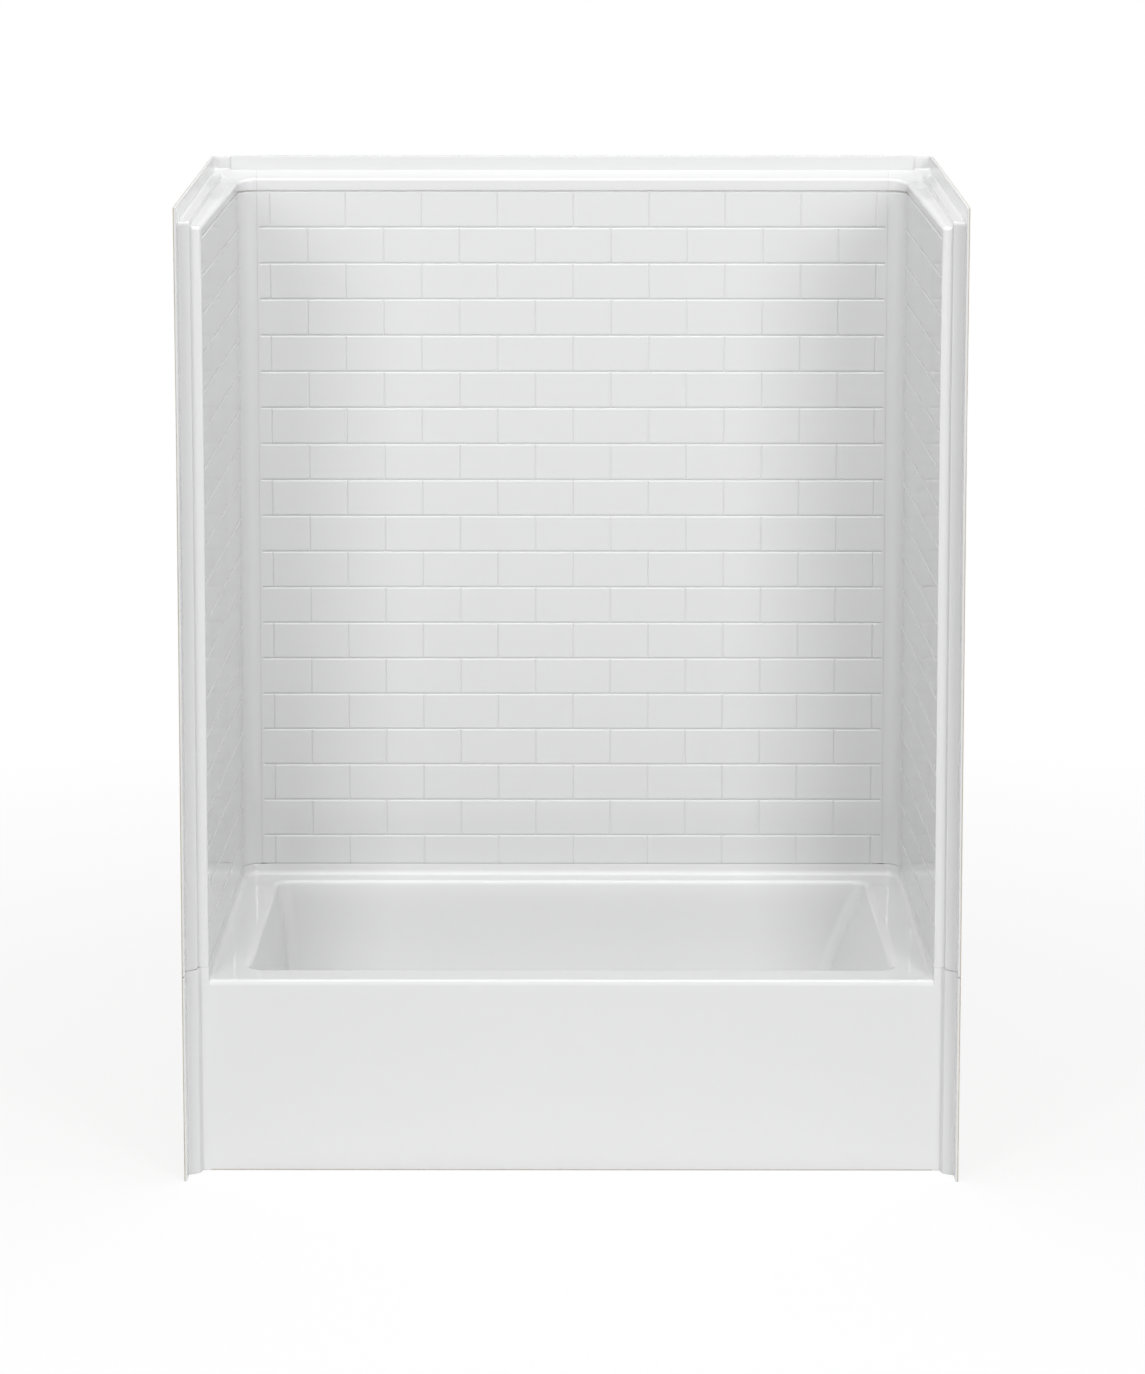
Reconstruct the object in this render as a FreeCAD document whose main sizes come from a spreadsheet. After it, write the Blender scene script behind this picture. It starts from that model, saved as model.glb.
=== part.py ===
import FreeCAD, Part
import math
import os
import Sketcher
from types import SimpleNamespace

# Tub and shower unit for a bathroom alcove, moulded in four pieces: a tub with a plain apron and three
# wall panels with a brick-bond tile relief. The panels stand on the tub and bolt to each other and to it
# from behind. X runs along the tub, +Y goes from the apron to the back wall, +Z is up, and the origin is
# on the floor in the middle of the unit. All lengths are millimetres.

driving = {
    # The alcove that the unit fills
    "unit_width": 1524.0,
    "unit_depth": 864.0,
    "unit_height": 1940.0,
    # Thickness of the moulded laminate in the tub, in the panels and in the nailing flange
    "tub_skin": 8.0,
    "panel_skin": 5.0,
    "nail_flange_skin": 6.0,
    # Front returns beside the apron: an outer strip set forward and an inner strip level with the apron
    "strip_setback": 44.0,
    "strip_width": 20.0,
    "step_run": 3.0,
    "apron_setback": 70.0,
    # The clear space between the walls, each kept in from the end or the back of the unit
    "wall_front_inset": 48.0,
    "wall_back_inset": 71.0,
    "wall_back_setback": 50.0,
    "cove_radius": 34.0,
    "corner_joint_inset": 107.0,
    "joint_flange_reach": 30.0,
    # Levels above the floor
    "deck_level": 407.0,
    "seam_level": 431.0,
    "ledge_level": 1894.0,
    "ledge_step": 12.0,
    "outer_ledge_width": 24.0,
    "flange_lap": 57.0,
    # The basin
    "basin_end_inset": 130.0,
    "basin_front_rail": 52.0,
    "basin_back_rail": 66.0,
    "basin_floor_level": 70.0,
    "drain_end_run": 59.0,
    "backrest_run": 163.0,
    "basin_front_run": 45.0,
    "basin_back_run": 60.0,
    "basin_corner_radius": 40.0,
    "basin_floor_radius": 45.0,
    "rim_radius": 18.0,
    "deck_edge_radius": 16.0,
    # The tile relief
    "course_height": 76.0,
    "course_count": 19,
    "tile_length": 157.4,
    "top_course_drop": 19.0,
    "groove_width": 4.0,
    "groove_depth": 1.5,
    "side_field_margin": 35.0,
    # Seals between the pieces
    "seal_thickness": 2.0,
    "seal_width": 24.0,
    # Bolts through the joint flanges
    "bolt_radius": 3.2,
    "bolt_hole_clearance": 0.4,
    "bolt_head_radius": 6.4,
    "bolt_head_height": 4.5,
    "nut_height": 5.5,
    "washer_radius": 8.0,
    "washer_height": 1.5,
    "bolt_tail": 3.0,
    "bolt_edge_distance": 12.0,
    "corner_bolt_count": 6,
    "corner_bolt_first": 130.0,
    "back_bolt_count": 4,
    "back_bolt_span": 900.0,
    "side_bolt_count": 3,
    "side_bolt_span": 480.0,
    # Boards bonded behind the laminate
    "board_skin": 12.0,
    "back_board_half": 560.0,
    "back_board_low": 620.0,
    "back_board_tall": 1120.0,
    "side_board_front": 120.0,
    "side_board_length": 560.0,
    "apron_board_half": 600.0,
    "apron_board_low": 60.0,
    "apron_board_tall": 270.0,
    "base_board_inset": 20.0,
    "runner_width": 60.0,
    "runner_inset": 60.0,
    # The waste
    "drain_from_end": 106.0,
    "drain_hole_radius": 24.0,
    "drain_flange_radius": 36.0,
    "drain_flange_skin": 3.0,
    "drain_body_radius": 22.5,
    "drain_bore_radius": 18.0,
    "drain_body_length": 33.0,
    "drain_bar_width": 5.0,
    "drain_bar_height": 4.0,
    "drain_boss_radius": 5.5,
    "drain_boss_height": 6.0,
    "drain_washer_skin": 3.0,
    "shoe_radius": 30.0,
    "shoe_floor_gap": 6.0,
    "shoe_wall": 3.0,
    "outlet_radius": 19.05,
    "outlet_wall": 2.0,
    "outlet_end_inset": 22.0,
    "slip_length": 60.0,
    "slip_collar_rise": 1.5,
    "slip_collar_width": 3.0,
    "board_hole_clearance": 6.0,
    "thread_clearance": 0.05,
    "post_radius": 3.0,
    "post_height": 24.0,
    "stem_wall": 3.0,
    "stem_clearance": 0.08,
    "stopper_radius": 24.0,
    "stopper_dome": 5.0,
    "stopper_skin": 3.0,
    "stopper_seal_radius": 22.0,
    "stopper_seal_width": 5.0,
    "stopper_seal_skin": 3.0,
    "seat_gap": 0.3,
    # How far a cut runs past the face that it starts from
    "overrun": 2.0,
}

doc = FreeCAD.newDocument("tub_and_shower_unit")
sheet = doc.addObject("Spreadsheet::Sheet", "sizes")
for row, (name, number) in enumerate(driving.items(), start=1):
    sheet.set(f"A{row}", name)
    sheet.set(f"B{row}", str(number))
    sheet.setAlias(f"B{row}", name)
doc.recompute()


class Size:
    """A size known both as a number and as its formula on the sheet."""

    def __init__(self, value, formula):
        self.value = value
        self.formula = formula

    def __add__(self, other):
        other = as_size(other)
        return Size(self.value + other.value, f"({self.formula} + {other.formula})")

    def __sub__(self, other):
        other = as_size(other)
        return Size(self.value - other.value, f"({self.formula} - {other.formula})")

    def __mul__(self, other):
        other = as_size(other)
        return Size(self.value * other.value, f"({self.formula} * {other.formula})")

    def __truediv__(self, other):
        other = as_size(other)
        return Size(self.value / other.value, f"({self.formula} / {other.formula})")

    def __neg__(self):
        return Size(-self.value, f"(0 - {self.formula})")

    def __rmul__(self, other):
        return as_size(other) * self


def as_size(thing):
    """Gives a plain number the same form as a size from the sheet."""
    return thing if isinstance(thing, Size) else Size(thing, f"({thing})")


# Two places closer than this share of the shallowest detail count as one
same_share = 0.01

d = SimpleNamespace(**{name: Size(number, f"sizes.{name}") for name, number in driving.items()})
zero = as_size(0)

# Places that follow from the driving sizes, with y measured from the middle of the unit
half_width = d.unit_width / 2
half_depth = d.unit_depth / 2
front = -half_depth
strip_face = front + d.strip_setback
apron_face = front + d.apron_setback
back_face = half_depth - d.wall_back_setback
wall_front_half = half_width - d.wall_front_inset
wall_back_half = half_width - d.wall_back_inset
corner_joint_half = half_width - d.corner_joint_inset
basin_half_length = half_width - d.basin_end_inset
flange_inside = half_width - d.nail_flange_skin
back_flange_inside = half_depth - d.nail_flange_skin
strip_inner = flange_inside - d.strip_width
step_inner = strip_inner - d.step_run
tub_top = d.seam_level - d.seal_thickness
outer_ledge_level = d.ledge_level + d.ledge_step
outer_ledge_half = half_width - d.outer_ledge_width
outer_ledge_back = half_depth - d.outer_ledge_width
back_joint_half = corner_joint_half - d.seal_thickness
top_course = d.ledge_level - d.top_course_drop


def sketch_on(body, name, role, offset):
    """A sketch parallel to one of the body's own planes, offset along that plane's world axis."""
    plane = next(item for item in body.Origin.OriginFeatures if item.Role == role)
    sketch = body.newObject("Sketcher::SketchObject", name)
    sketch.AttachmentSupport = [(plane, "")]
    sketch.MapMode = "FlatFace"
    shift = -offset if role == "XZ_Plane" else offset
    sketch.setExpression("AttachmentOffset.Base.z", shift.formula)
    return sketch


def pin(sketch, line, end, x, y):
    """Holds one point of a sketch at sheet coordinates."""
    for kind, axis, place in (("DistanceX", -2, x), ("DistanceY", -1, y)):
        if place.value == 0:
            sketch.addConstraint(Sketcher.Constraint("PointOnObject", line, end, axis))
            continue
        index = sketch.addConstraint(Sketcher.Constraint(kind, -1, 1, line, end, place.value))
        sketch.setExpression(f"Constraints[{index}]", place.formula)


def outline(sketch, points):
    """A closed outline of straight lines through the points."""
    corners = [FreeCAD.Vector(x.value, y.value, 0) for x, y in points]
    for here, there in zip(corners, corners[1:] + corners[:1]):
        sketch.addGeometry(Part.LineSegment(here, there), False)
    for line in range(len(points)):
        following = (line + 1) % len(points)
        sketch.addConstraint(Sketcher.Constraint("Coincident", line, 2, following, 1))
    for line, (x, y) in enumerate(points):
        pin(sketch, line, 1, x, y)


def circle(sketch, x, y, radius):
    """A circle held at its centre and radius."""
    middle = FreeCAD.Vector(x.value, y.value, 0)
    upright = FreeCAD.Vector(0, 0, 1)
    line = sketch.addGeometry(Part.Circle(middle, upright, radius.value), False)
    pin(sketch, line, 3, x, y)
    index = sketch.addConstraint(Sketcher.Constraint("Radius", line, radius.value))
    sketch.setExpression(f"Constraints[{index}]", radius.formula)


def new_body(label):
    """An empty body that carries one piece of the unit."""
    body = doc.addObject("PartDesign::Body", label)
    body.Label = label
    return body


def rectangle(x_low, x_high, y_low, y_high):
    """The four corners of an upright rectangle."""
    return [(x_low, y_low), (x_high, y_low), (x_high, y_high), (x_low, y_high)]


def extruded(body, name, role, sketch, length, cut=False):
    """A pad or pocket of a sketch, from its plane towards the positive world axis."""
    kind = "PartDesign::Pocket" if cut else "PartDesign::Pad"
    feature = body.newObject(kind, name)
    feature.Profile = sketch
    feature.Reversed = (role == "XZ_Plane") != cut
    feature.setExpression("Length", length.formula)
    sketch.Visibility = False
    return feature


def prism(body, name, role, start, points, length, cut=False):
    """Pads or cuts a straight-sided outline."""
    sketch = sketch_on(body, name + "_sketch", role, start)
    outline(sketch, points)
    return extruded(body, name, role, sketch, length, cut)


def round_bar(body, name, role, start, x, y, radius, length, cut=False):
    """Pads or cuts a round bar."""
    sketch = sketch_on(body, name + "_sketch", role, start)
    circle(sketch, x, y, radius)
    return extruded(body, name, role, sketch, length, cut)


def bore(body, name, role, start, x, y, radius, length):
    """Cuts a round hole."""
    return round_bar(body, name, role, start, x, y, radius, length, cut=True)


def repeated(body, name, feature, axis, span, count):
    """Repeats a hole along an axis of its own sketch."""
    pattern = body.newObject("PartDesign::LinearPattern", name)
    pattern.Originals = [feature]
    pattern.Direction = (feature.Profile[0], [axis])
    pattern.setExpression("Length", span.formula)
    pattern.setExpression("Occurrences", count.formula)
    body.Tip = pattern
    return pattern


def rounded(body, name, radius, chosen):
    """Rounds the edges of the body so far for which chosen is true."""
    doc.recompute()
    before = body.Tip
    names = [f"Edge{i}" for i, edge in enumerate(before.Shape.Edges, start=1) if chosen(edge)]
    fillet = body.newObject("PartDesign::Fillet", name)
    fillet.Base = (before, names)
    fillet.setExpression("Radius", radius.formula)
    return fillet


def near(one, other):
    """True where two lengths are the same but for rounding."""
    return abs(one - other) < same_share * d.groove_depth.value


def turned(body, name, points):
    """Turns an outline given as radius and height about the body's upright axis."""
    sketch = sketch_on(body, name + "_sketch", "XZ_Plane", zero)
    outline(sketch, points)
    turning = body.newObject("PartDesign::Revolution", name)
    turning.Profile = sketch
    turning.ReferenceAxis = (sketch, ["V_Axis"])
    turning.Angle = 360
    return turning


def placed(item, x, y, z):
    """Ties an object's place to sheet coordinates."""
    for axis, place in (("x", x), ("y", y), ("z", z)):
        item.setExpression(f"Placement.Base.{axis}", place.formula)


# Tub: the front skin with apron, strips and nailing flanges, the deck with its upstand on three sides,
# the outward flange that carries the panels, and the basin.
tub = new_body("tub_shell")
prism(tub, "tub_front", "XY_Plane", zero, [
    (-half_width, front),
    (-flange_inside, front),
    (-flange_inside, strip_face),
    (-strip_inner, strip_face),
    (-step_inner, apron_face),
    (step_inner, apron_face),
    (strip_inner, strip_face),
    (flange_inside, strip_face),
    (flange_inside, front),
    (half_width, front),
    (half_width, strip_face + d.tub_skin),
    (strip_inner + d.tub_skin, strip_face + d.tub_skin),
    (step_inner + d.tub_skin, apron_face + d.tub_skin),
    (-step_inner - d.tub_skin, apron_face + d.tub_skin),
    (-strip_inner - d.tub_skin, strip_face + d.tub_skin),
    (-half_width, strip_face + d.tub_skin),
], tub_top)
prism(tub, "tub_threshold", "XY_Plane", d.deck_level,
      rectangle(-wall_front_half, wall_front_half, apron_face - d.overrun,
                apron_face + d.tub_skin + d.overrun),
      tub_top, cut=True)
prism(tub, "tub_deck", "XY_Plane", d.deck_level - d.tub_skin, [
    (-wall_front_half - d.tub_skin, apron_face),
    (wall_front_half + d.tub_skin, apron_face),
    (wall_back_half + d.tub_skin, back_face + d.tub_skin),
    (-wall_back_half - d.tub_skin, back_face + d.tub_skin),
], d.tub_skin)
prism(tub, "tub_upstand", "XY_Plane", d.deck_level - d.tub_skin, [
    (-wall_front_half - d.tub_skin, apron_face),
    (-wall_front_half, apron_face),
    (-wall_back_half, back_face),
    (wall_back_half, back_face),
    (wall_front_half, apron_face),
    (wall_front_half + d.tub_skin, apron_face),
    (wall_back_half + d.tub_skin, back_face + d.tub_skin),
    (-wall_back_half - d.tub_skin, back_face + d.tub_skin),
], tub_top - d.deck_level + d.tub_skin)
prism(tub, "tub_seam_flange", "XY_Plane", tub_top - d.tub_skin, [
    (-flange_inside, strip_face + d.tub_skin / 2),
    (-strip_inner - d.tub_skin / 2, strip_face + d.tub_skin / 2),
    (-step_inner - d.tub_skin / 2, apron_face + d.tub_skin / 2),
    (-wall_front_half - d.tub_skin / 2, apron_face + d.tub_skin / 2),
    (-wall_back_half - d.tub_skin / 2, back_face + d.tub_skin / 2),
    (wall_back_half + d.tub_skin / 2, back_face + d.tub_skin / 2),
    (wall_front_half + d.tub_skin / 2, apron_face + d.tub_skin / 2),
    (step_inner + d.tub_skin / 2, apron_face + d.tub_skin / 2),
    (strip_inner + d.tub_skin / 2, strip_face + d.tub_skin / 2),
    (flange_inside, strip_face + d.tub_skin / 2),
    (flange_inside, back_flange_inside),
    (-flange_inside, back_flange_inside),
], d.tub_skin)

basin_front = apron_face + d.basin_front_rail
basin_back = back_face - d.basin_back_rail
floor_left = -basin_half_length + d.drain_end_run
floor_right = basin_half_length - d.backrest_run
floor_front = basin_front + d.basin_front_run
floor_back = basin_back - d.basin_back_run


def basin_loft(kind, name, grown, top, bottom):
    """The basin's space, grown by a skin, between its opening and its floor."""
    upper = sketch_on(tub, name + "_opening_sketch", "XY_Plane", top)
    outline(upper, rectangle(-basin_half_length - grown, basin_half_length + grown,
                             basin_front - grown, basin_back + grown))
    lower = sketch_on(tub, name + "_floor_sketch", "XY_Plane", bottom)
    outline(lower, rectangle(floor_left - grown, floor_right + grown,
                             floor_front - grown, floor_back + grown))
    loft = tub.newObject(kind, name)
    loft.Profile = upper
    loft.Sections = [lower]
    loft.Ruled = True
    return loft


basin_loft("PartDesign::AdditiveLoft", "basin_outside", d.tub_skin, d.deck_level,
           d.basin_floor_level - d.tub_skin)
basin_loft("PartDesign::SubtractiveLoft", "basin_inside", zero, d.deck_level, d.basin_floor_level)


def heights(edge):
    """The heights of an edge's ends, lowest first."""
    return sorted(vertex.Z for vertex in edge.Vertexes)


def is_basin_corner(edge):
    """True for the four leaning edges inside the basin."""
    ends = heights(edge)
    return near(ends[0], d.basin_floor_level.value) and near(ends[-1], d.deck_level.value)


def is_basin_foot(edge):
    """True for the edges round the basin's floor."""
    ends = heights(edge)
    return near(ends[0], d.basin_floor_level.value) and near(ends[-1], d.basin_floor_level.value)


def is_basin_rim(edge):
    """True for the edges round the basin's opening."""
    box = edge.BoundBox
    level = near(box.ZMin, d.deck_level.value) and near(box.ZMax, d.deck_level.value)
    beyond_front = box.YMin > apron_face.value + d.tub_skin.value
    inside = box.YMax < back_face.value - d.tub_skin.value
    between = abs(box.XMin) < wall_back_half.value - d.tub_skin.value
    return level and beyond_front and inside and between


def is_deck_edge(edge):
    """True for the long edge where the deck turns down into the apron."""
    box = edge.BoundBox
    level = near(box.ZMin, d.deck_level.value) and near(box.ZMax, d.deck_level.value)
    return level and near(box.YMax, apron_face.value) and box.XLength > wall_front_half.value


rounded(tub, "basin_corners", d.basin_corner_radius, is_basin_corner)
rounded(tub, "basin_foot", d.basin_floor_radius, is_basin_foot)
rounded(tub, "basin_rim", d.rim_radius, is_basin_rim)
rounded(tub, "deck_edge", d.deck_edge_radius, is_deck_edge)

drain_x = floor_left + d.drain_from_end
drain_y = (floor_front + floor_back) / 2
bore(tub, "tub_drain_hole", "XY_Plane", d.basin_floor_level - d.tub_skin - d.overrun,
     drain_x, drain_y, d.drain_hole_radius, d.tub_skin + d.overrun + d.overrun)

# Bolt places, shared by the tub's flange, the panels, the seals and the bolts themselves
hole_radius = d.bolt_radius + d.bolt_hole_clearance
side_bolt_x = (wall_front_half + flange_inside) / 2
side_bolt_first = -d.side_bolt_span / 2
back_bolt_y = (back_face + d.panel_skin + back_flange_inside) / 2
back_bolt_first = -d.back_bolt_span / 2
corner_bolt_y = back_face + d.joint_flange_reach - d.bolt_edge_distance
corner_bolt_low = d.seam_level + d.corner_bolt_first
corner_bolt_high = d.ledge_level - d.corner_bolt_first
corner_bolt_span = corner_bolt_high - corner_bolt_low


def back_seam_holes(body, start, length):
    """The row of holes along the back seam."""
    hole = bore(body, body.Label + "_back_hole", "XY_Plane", start, back_bolt_first, back_bolt_y,
                hole_radius, length)
    repeated(body, body.Label + "_back_holes", hole, "H_Axis", d.back_bolt_span, d.back_bolt_count)


def side_seam_holes(body, tag, side, start, length):
    """The row of holes along one side's seam."""
    hole = bore(body, body.Label + tag + "_side_hole", "XY_Plane", start, side * side_bolt_x,
                side_bolt_first, hole_radius, length)
    repeated(body, body.Label + tag + "_side_holes", hole, "V_Axis", d.side_bolt_span,
             d.side_bolt_count)


def corner_holes(body, tag, x_low, length):
    """The column of holes through an upright joint flange."""
    hole = bore(body, body.Label + tag + "_corner_hole", "YZ_Plane", x_low, corner_bolt_y,
                corner_bolt_low, hole_radius, length)
    repeated(body, body.Label + tag + "_corner_holes", hole, "V_Axis", corner_bolt_span,
             d.corner_bolt_count)


seam_hole_start = tub_top - d.tub_skin - d.overrun
seam_hole_length = d.tub_skin + d.seal_thickness + d.panel_skin + d.overrun * 2
back_seam_holes(tub, seam_hole_start, seam_hole_length)
side_seam_holes(tub, "_left", -1, seam_hole_start, seam_hole_length)
side_seam_holes(tub, "_right", 1, seam_hole_start, seam_hole_length)


def course_levels():
    """Heights of the level grooves, from the top down."""
    return [top_course.value - d.course_height.value * i for i in range(int(d.course_count.value))]


def groove_tools(length, joints_even, joints_odd):
    """Cutters for one wall, with the wall's face on the XZ plane, its laminate towards +Y and its start at
    x = 0: first the level grooves, then the upright joints between them."""
    past = d.overrun.value
    thick = past + d.groove_depth.value
    half = d.groove_width.value / 2
    levels = course_levels()
    level_tools = []
    for level in levels:
        corner = FreeCAD.Vector(0, -past, level - half)
        level_tools.append(Part.makeBox(length, thick, 2 * half, corner))
    joint_tools = []
    for course, level in enumerate(levels):
        foot = max(level - d.course_height.value, d.seam_level.value - past)
        for place in joints_odd if course % 2 else joints_even:
            corner = FreeCAD.Vector(place - half, -past, foot)
            joint_tools.append(Part.makeBox(2 * half, thick, level - foot, corner))
    return Part.makeCompound(level_tools), Part.makeCompound(joint_tools)


def relieved(label, body, tools):
    """The panel with its grooves cut, as an object that carries the panel's name."""
    result = body
    for tag, shape in zip(("courses", "joints"), tools):
        cutter = doc.addObject("Part::Feature", f"{label}_{tag}_cutter")
        cutter.Shape = shape
        cut = doc.addObject("Part::Cut", f"{label}_{tag}")
        cut.Base = result
        cut.Tool = cutter
        result = cut
    result.Label = label
    return result


# Back wall panel: a flat laminate with a joint flange turned back at both ends, a foot flange on the tub
# and a two-level ledge with the nailing flange on top.
back_body = new_body("back_wall_body")
prism(back_body, "back_skin", "XY_Plane", d.seam_level, [
    (-back_joint_half, back_face),
    (back_joint_half, back_face),
    (back_joint_half, back_face + d.joint_flange_reach),
    (back_joint_half - d.panel_skin, back_face + d.joint_flange_reach),
    (back_joint_half - d.panel_skin, back_face + d.panel_skin),
    (-back_joint_half + d.panel_skin, back_face + d.panel_skin),
    (-back_joint_half + d.panel_skin, back_face + d.joint_flange_reach),
    (-back_joint_half, back_face + d.joint_flange_reach),
], d.ledge_level - d.seam_level)
prism(back_body, "back_foot", "XY_Plane", d.seam_level,
      rectangle(-back_joint_half, back_joint_half, back_face + d.panel_skin / 2, back_flange_inside),
      d.panel_skin)
prism(back_body, "back_ledge", "YZ_Plane", -back_joint_half, [
    (back_face + d.panel_skin / 2, d.ledge_level),
    (back_face + d.panel_skin / 2, d.ledge_level - d.panel_skin),
    (outer_ledge_back + d.panel_skin, d.ledge_level - d.panel_skin),
    (outer_ledge_back + d.panel_skin, outer_ledge_level - d.panel_skin),
    (half_depth, outer_ledge_level - d.panel_skin),
    (half_depth, d.unit_height),
    (back_flange_inside, d.unit_height),
    (back_flange_inside, outer_ledge_level),
    (outer_ledge_back, outer_ledge_level),
    (outer_ledge_back, d.ledge_level),
], back_joint_half * 2)
prism(back_body, "back_flange_lap", "XZ_Plane", back_flange_inside - d.panel_skin,
      rectangle(-corner_joint_half - d.flange_lap, corner_joint_half + d.flange_lap,
                outer_ledge_level, d.unit_height),
      d.panel_skin)
back_seam_holes(back_body, seam_hole_start, seam_hole_length)
corner_holes(back_body, "_left", -back_joint_half - d.overrun, d.panel_skin + d.overrun * 2)
corner_holes(back_body, "_right", back_joint_half - d.panel_skin - d.overrun,
             d.panel_skin + d.overrun * 2)

tile = d.tile_length.value
back_length = back_joint_half.value * 2
middle = back_length / 2
reach = int(middle // tile)
even_joints = [middle + tile * i for i in range(-reach, reach + 1)]
odd_joints = [middle + tile * (i + 1 / 2) for i in range(-reach, reach)]
back_tools = groove_tools(back_length, even_joints, odd_joints)
for tool in back_tools:
    tool.translate(FreeCAD.Vector(-middle, back_face.value, 0))
back_panel = relieved("back_wall_panel", back_body, back_tools)

# Side wall panels: each holds its front return, its wall, the coved corner and a short piece of the back
# wall, with the same ledge, nailing flange and foot flange as the back panel.
wall_run = back_face - apron_face


def mirrored(side, points):
    """Points of the right-hand panel, moved to the given side."""
    return [(x * side, y) for x, y in points]


def side_panel(name, side):
    """One side wall panel, on the left for side -1 and on the right for side 1."""
    skin = d.panel_skin
    joint = corner_joint_half
    body = new_body(f"{name}_wall_body")
    prism(body, f"{name}_skin", "XY_Plane", d.seam_level, mirrored(side, [
        (half_width, front),
        (flange_inside, front),
        (flange_inside, strip_face),
        (strip_inner, strip_face),
        (step_inner, apron_face),
        (wall_front_half, apron_face),
        (wall_back_half, back_face),
        (joint, back_face),
        (joint, back_face + d.joint_flange_reach),
        (joint + skin, back_face + d.joint_flange_reach),
        (joint + skin, back_face + skin),
        (wall_back_half + skin, back_face + skin),
        (wall_front_half + skin, apron_face + skin),
        (step_inner + skin, apron_face + skin),
        (strip_inner + skin, strip_face + skin),
        (half_width, strip_face + skin),
    ]), d.ledge_level - d.seam_level)

    def is_cove(edge):
        """True for the two upright edges of the corner between side and back."""
        box = edge.BoundBox
        inner = near(abs(box.XMin), wall_back_half.value) and near(box.YMin, back_face.value)
        outer = near(abs(box.XMin), (wall_back_half + skin).value)
        outer = outer and near(box.YMin, (back_face + skin).value)
        return (inner or outer) and box.ZLength > d.cove_radius.value

    def is_inner(edge):
        """True for the edge on the room's side of the corner."""
        return is_cove(edge) and near(edge.BoundBox.YMin, back_face.value)

    def is_outer(edge):
        """True for the edge behind the corner."""
        return is_cove(edge) and not is_inner(edge)

    ring = mirrored(side, [
        (flange_inside, strip_face + skin / 2),
        (strip_inner + skin / 2, strip_face + skin / 2),
        (step_inner + skin / 2, apron_face + skin / 2),
        (wall_front_half + skin / 2, apron_face + skin / 2),
        (wall_back_half + skin / 2, back_face + skin / 2),
        (joint, back_face + skin / 2),
        (joint, back_flange_inside),
        (flange_inside, back_flange_inside),
    ])
    prism(body, f"{name}_foot", "XY_Plane", d.seam_level, ring, skin)
    prism(body, f"{name}_ledge", "XY_Plane", d.ledge_level - skin, ring, skin)
    riser = mirrored(side, [
        (outer_ledge_half, strip_face),
        (outer_ledge_half, outer_ledge_back),
        (joint, outer_ledge_back),
        (joint, outer_ledge_back + skin),
        (outer_ledge_half + skin, outer_ledge_back + skin),
        (outer_ledge_half + skin, strip_face + skin),
        (half_width, strip_face + skin),
        (half_width, strip_face),
    ])
    prism(body, f"{name}_riser", "XY_Plane", d.ledge_level - skin, riser, d.ledge_step + skin)
    outer_ledge = mirrored(side, [
        (outer_ledge_half, strip_face),
        (outer_ledge_half, outer_ledge_back),
        (joint, outer_ledge_back),
        (joint, half_depth),
        (half_width, half_depth),
        (half_width, strip_face),
    ])
    prism(body, f"{name}_outer_ledge", "XY_Plane", outer_ledge_level - skin, outer_ledge, skin)
    nail_flange = mirrored(side, [
        (half_width, front),
        (flange_inside, front),
        (flange_inside, back_flange_inside),
        (joint, back_flange_inside),
        (joint, half_depth),
        (half_width, half_depth),
    ])
    prism(body, f"{name}_nail_flange", "XY_Plane", d.ledge_level - skin, nail_flange,
          d.unit_height - d.ledge_level + skin)
    rounded(body, f"{name}_cove", d.cove_radius, is_inner)
    rounded(body, f"{name}_cove_back", wall_back_half - joint - skin, is_outer)
    side_seam_holes(body, "", side, seam_hole_start, seam_hole_length)
    start = joint - d.overrun if side > 0 else -joint - skin - d.overrun
    corner_holes(body, "", start, skin + d.overrun * 2)

    length = math.hypot(wall_run.value, (wall_front_half - wall_back_half).value)
    lean = math.degrees(math.atan2((wall_front_half - wall_back_half).value, wall_run.value))
    field = length - d.side_field_margin.value - d.cove_radius.value
    even = [field - tile * i for i in range(1, int(field // tile) + 1)]
    odd = [field - tile * (i + 1 / 2) for i in range(int(field // tile - 1 / 2) + 1)]
    tools = groove_tools(field, even, odd)
    for tool in tools:
        tool.translate(FreeCAD.Vector(d.side_field_margin.value, 0, 0))
        tool.rotate(FreeCAD.Vector(0, 0, 0), FreeCAD.Vector(0, 0, 1), 90 - lean)
    placed_tools = []
    for tool in tools:
        flipped = tool.mirror(FreeCAD.Vector(0, 0, 0), FreeCAD.Vector(1, 0, 0))
        chosen = flipped if side > 0 else tool
        chosen.translate(FreeCAD.Vector(side * wall_front_half.value, apron_face.value, 0))
        placed_tools.append(chosen)
    return relieved(f"{name}_wall_panel", body, placed_tools)


left_panel = side_panel("left", -1)
right_panel = side_panel("right", 1)

# Foam seals: strips under the panels' foot flanges and between the upright joint flanges
for name, x_low, side in (("left", -back_joint_half - d.seal_thickness, -1),
                          ("right", back_joint_half, 1)):
    upright = new_body(f"corner_seal_{name}")
    prism(upright, f"corner_seal_{name}_strip", "YZ_Plane", x_low,
          rectangle(back_face + d.groove_depth, back_face + d.joint_flange_reach,
                    d.seam_level, d.ledge_level),
          d.seal_thickness)
    corner_holes(upright, "", x_low - d.overrun, d.seal_thickness + d.overrun * 2)
    foot = new_body(f"seam_seal_{name}")
    middle_x = side * side_bolt_x
    prism(foot, f"seam_seal_{name}_strip", "XY_Plane", tub_top,
          rectangle(middle_x - d.seal_width / 2, middle_x + d.seal_width / 2,
                    apron_face + d.tub_skin, back_flange_inside - d.seal_width * 2),
          d.seal_thickness)
    side_seam_holes(foot, "", side, seam_hole_start, seam_hole_length)
back_seal = new_body("seam_seal_back")
prism(back_seal, "seam_seal_back_strip", "XY_Plane", tub_top,
      rectangle(-back_joint_half, back_joint_half, back_bolt_y - d.seal_width / 2,
                back_bolt_y + d.seal_width / 2),
      d.seal_thickness)
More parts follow.
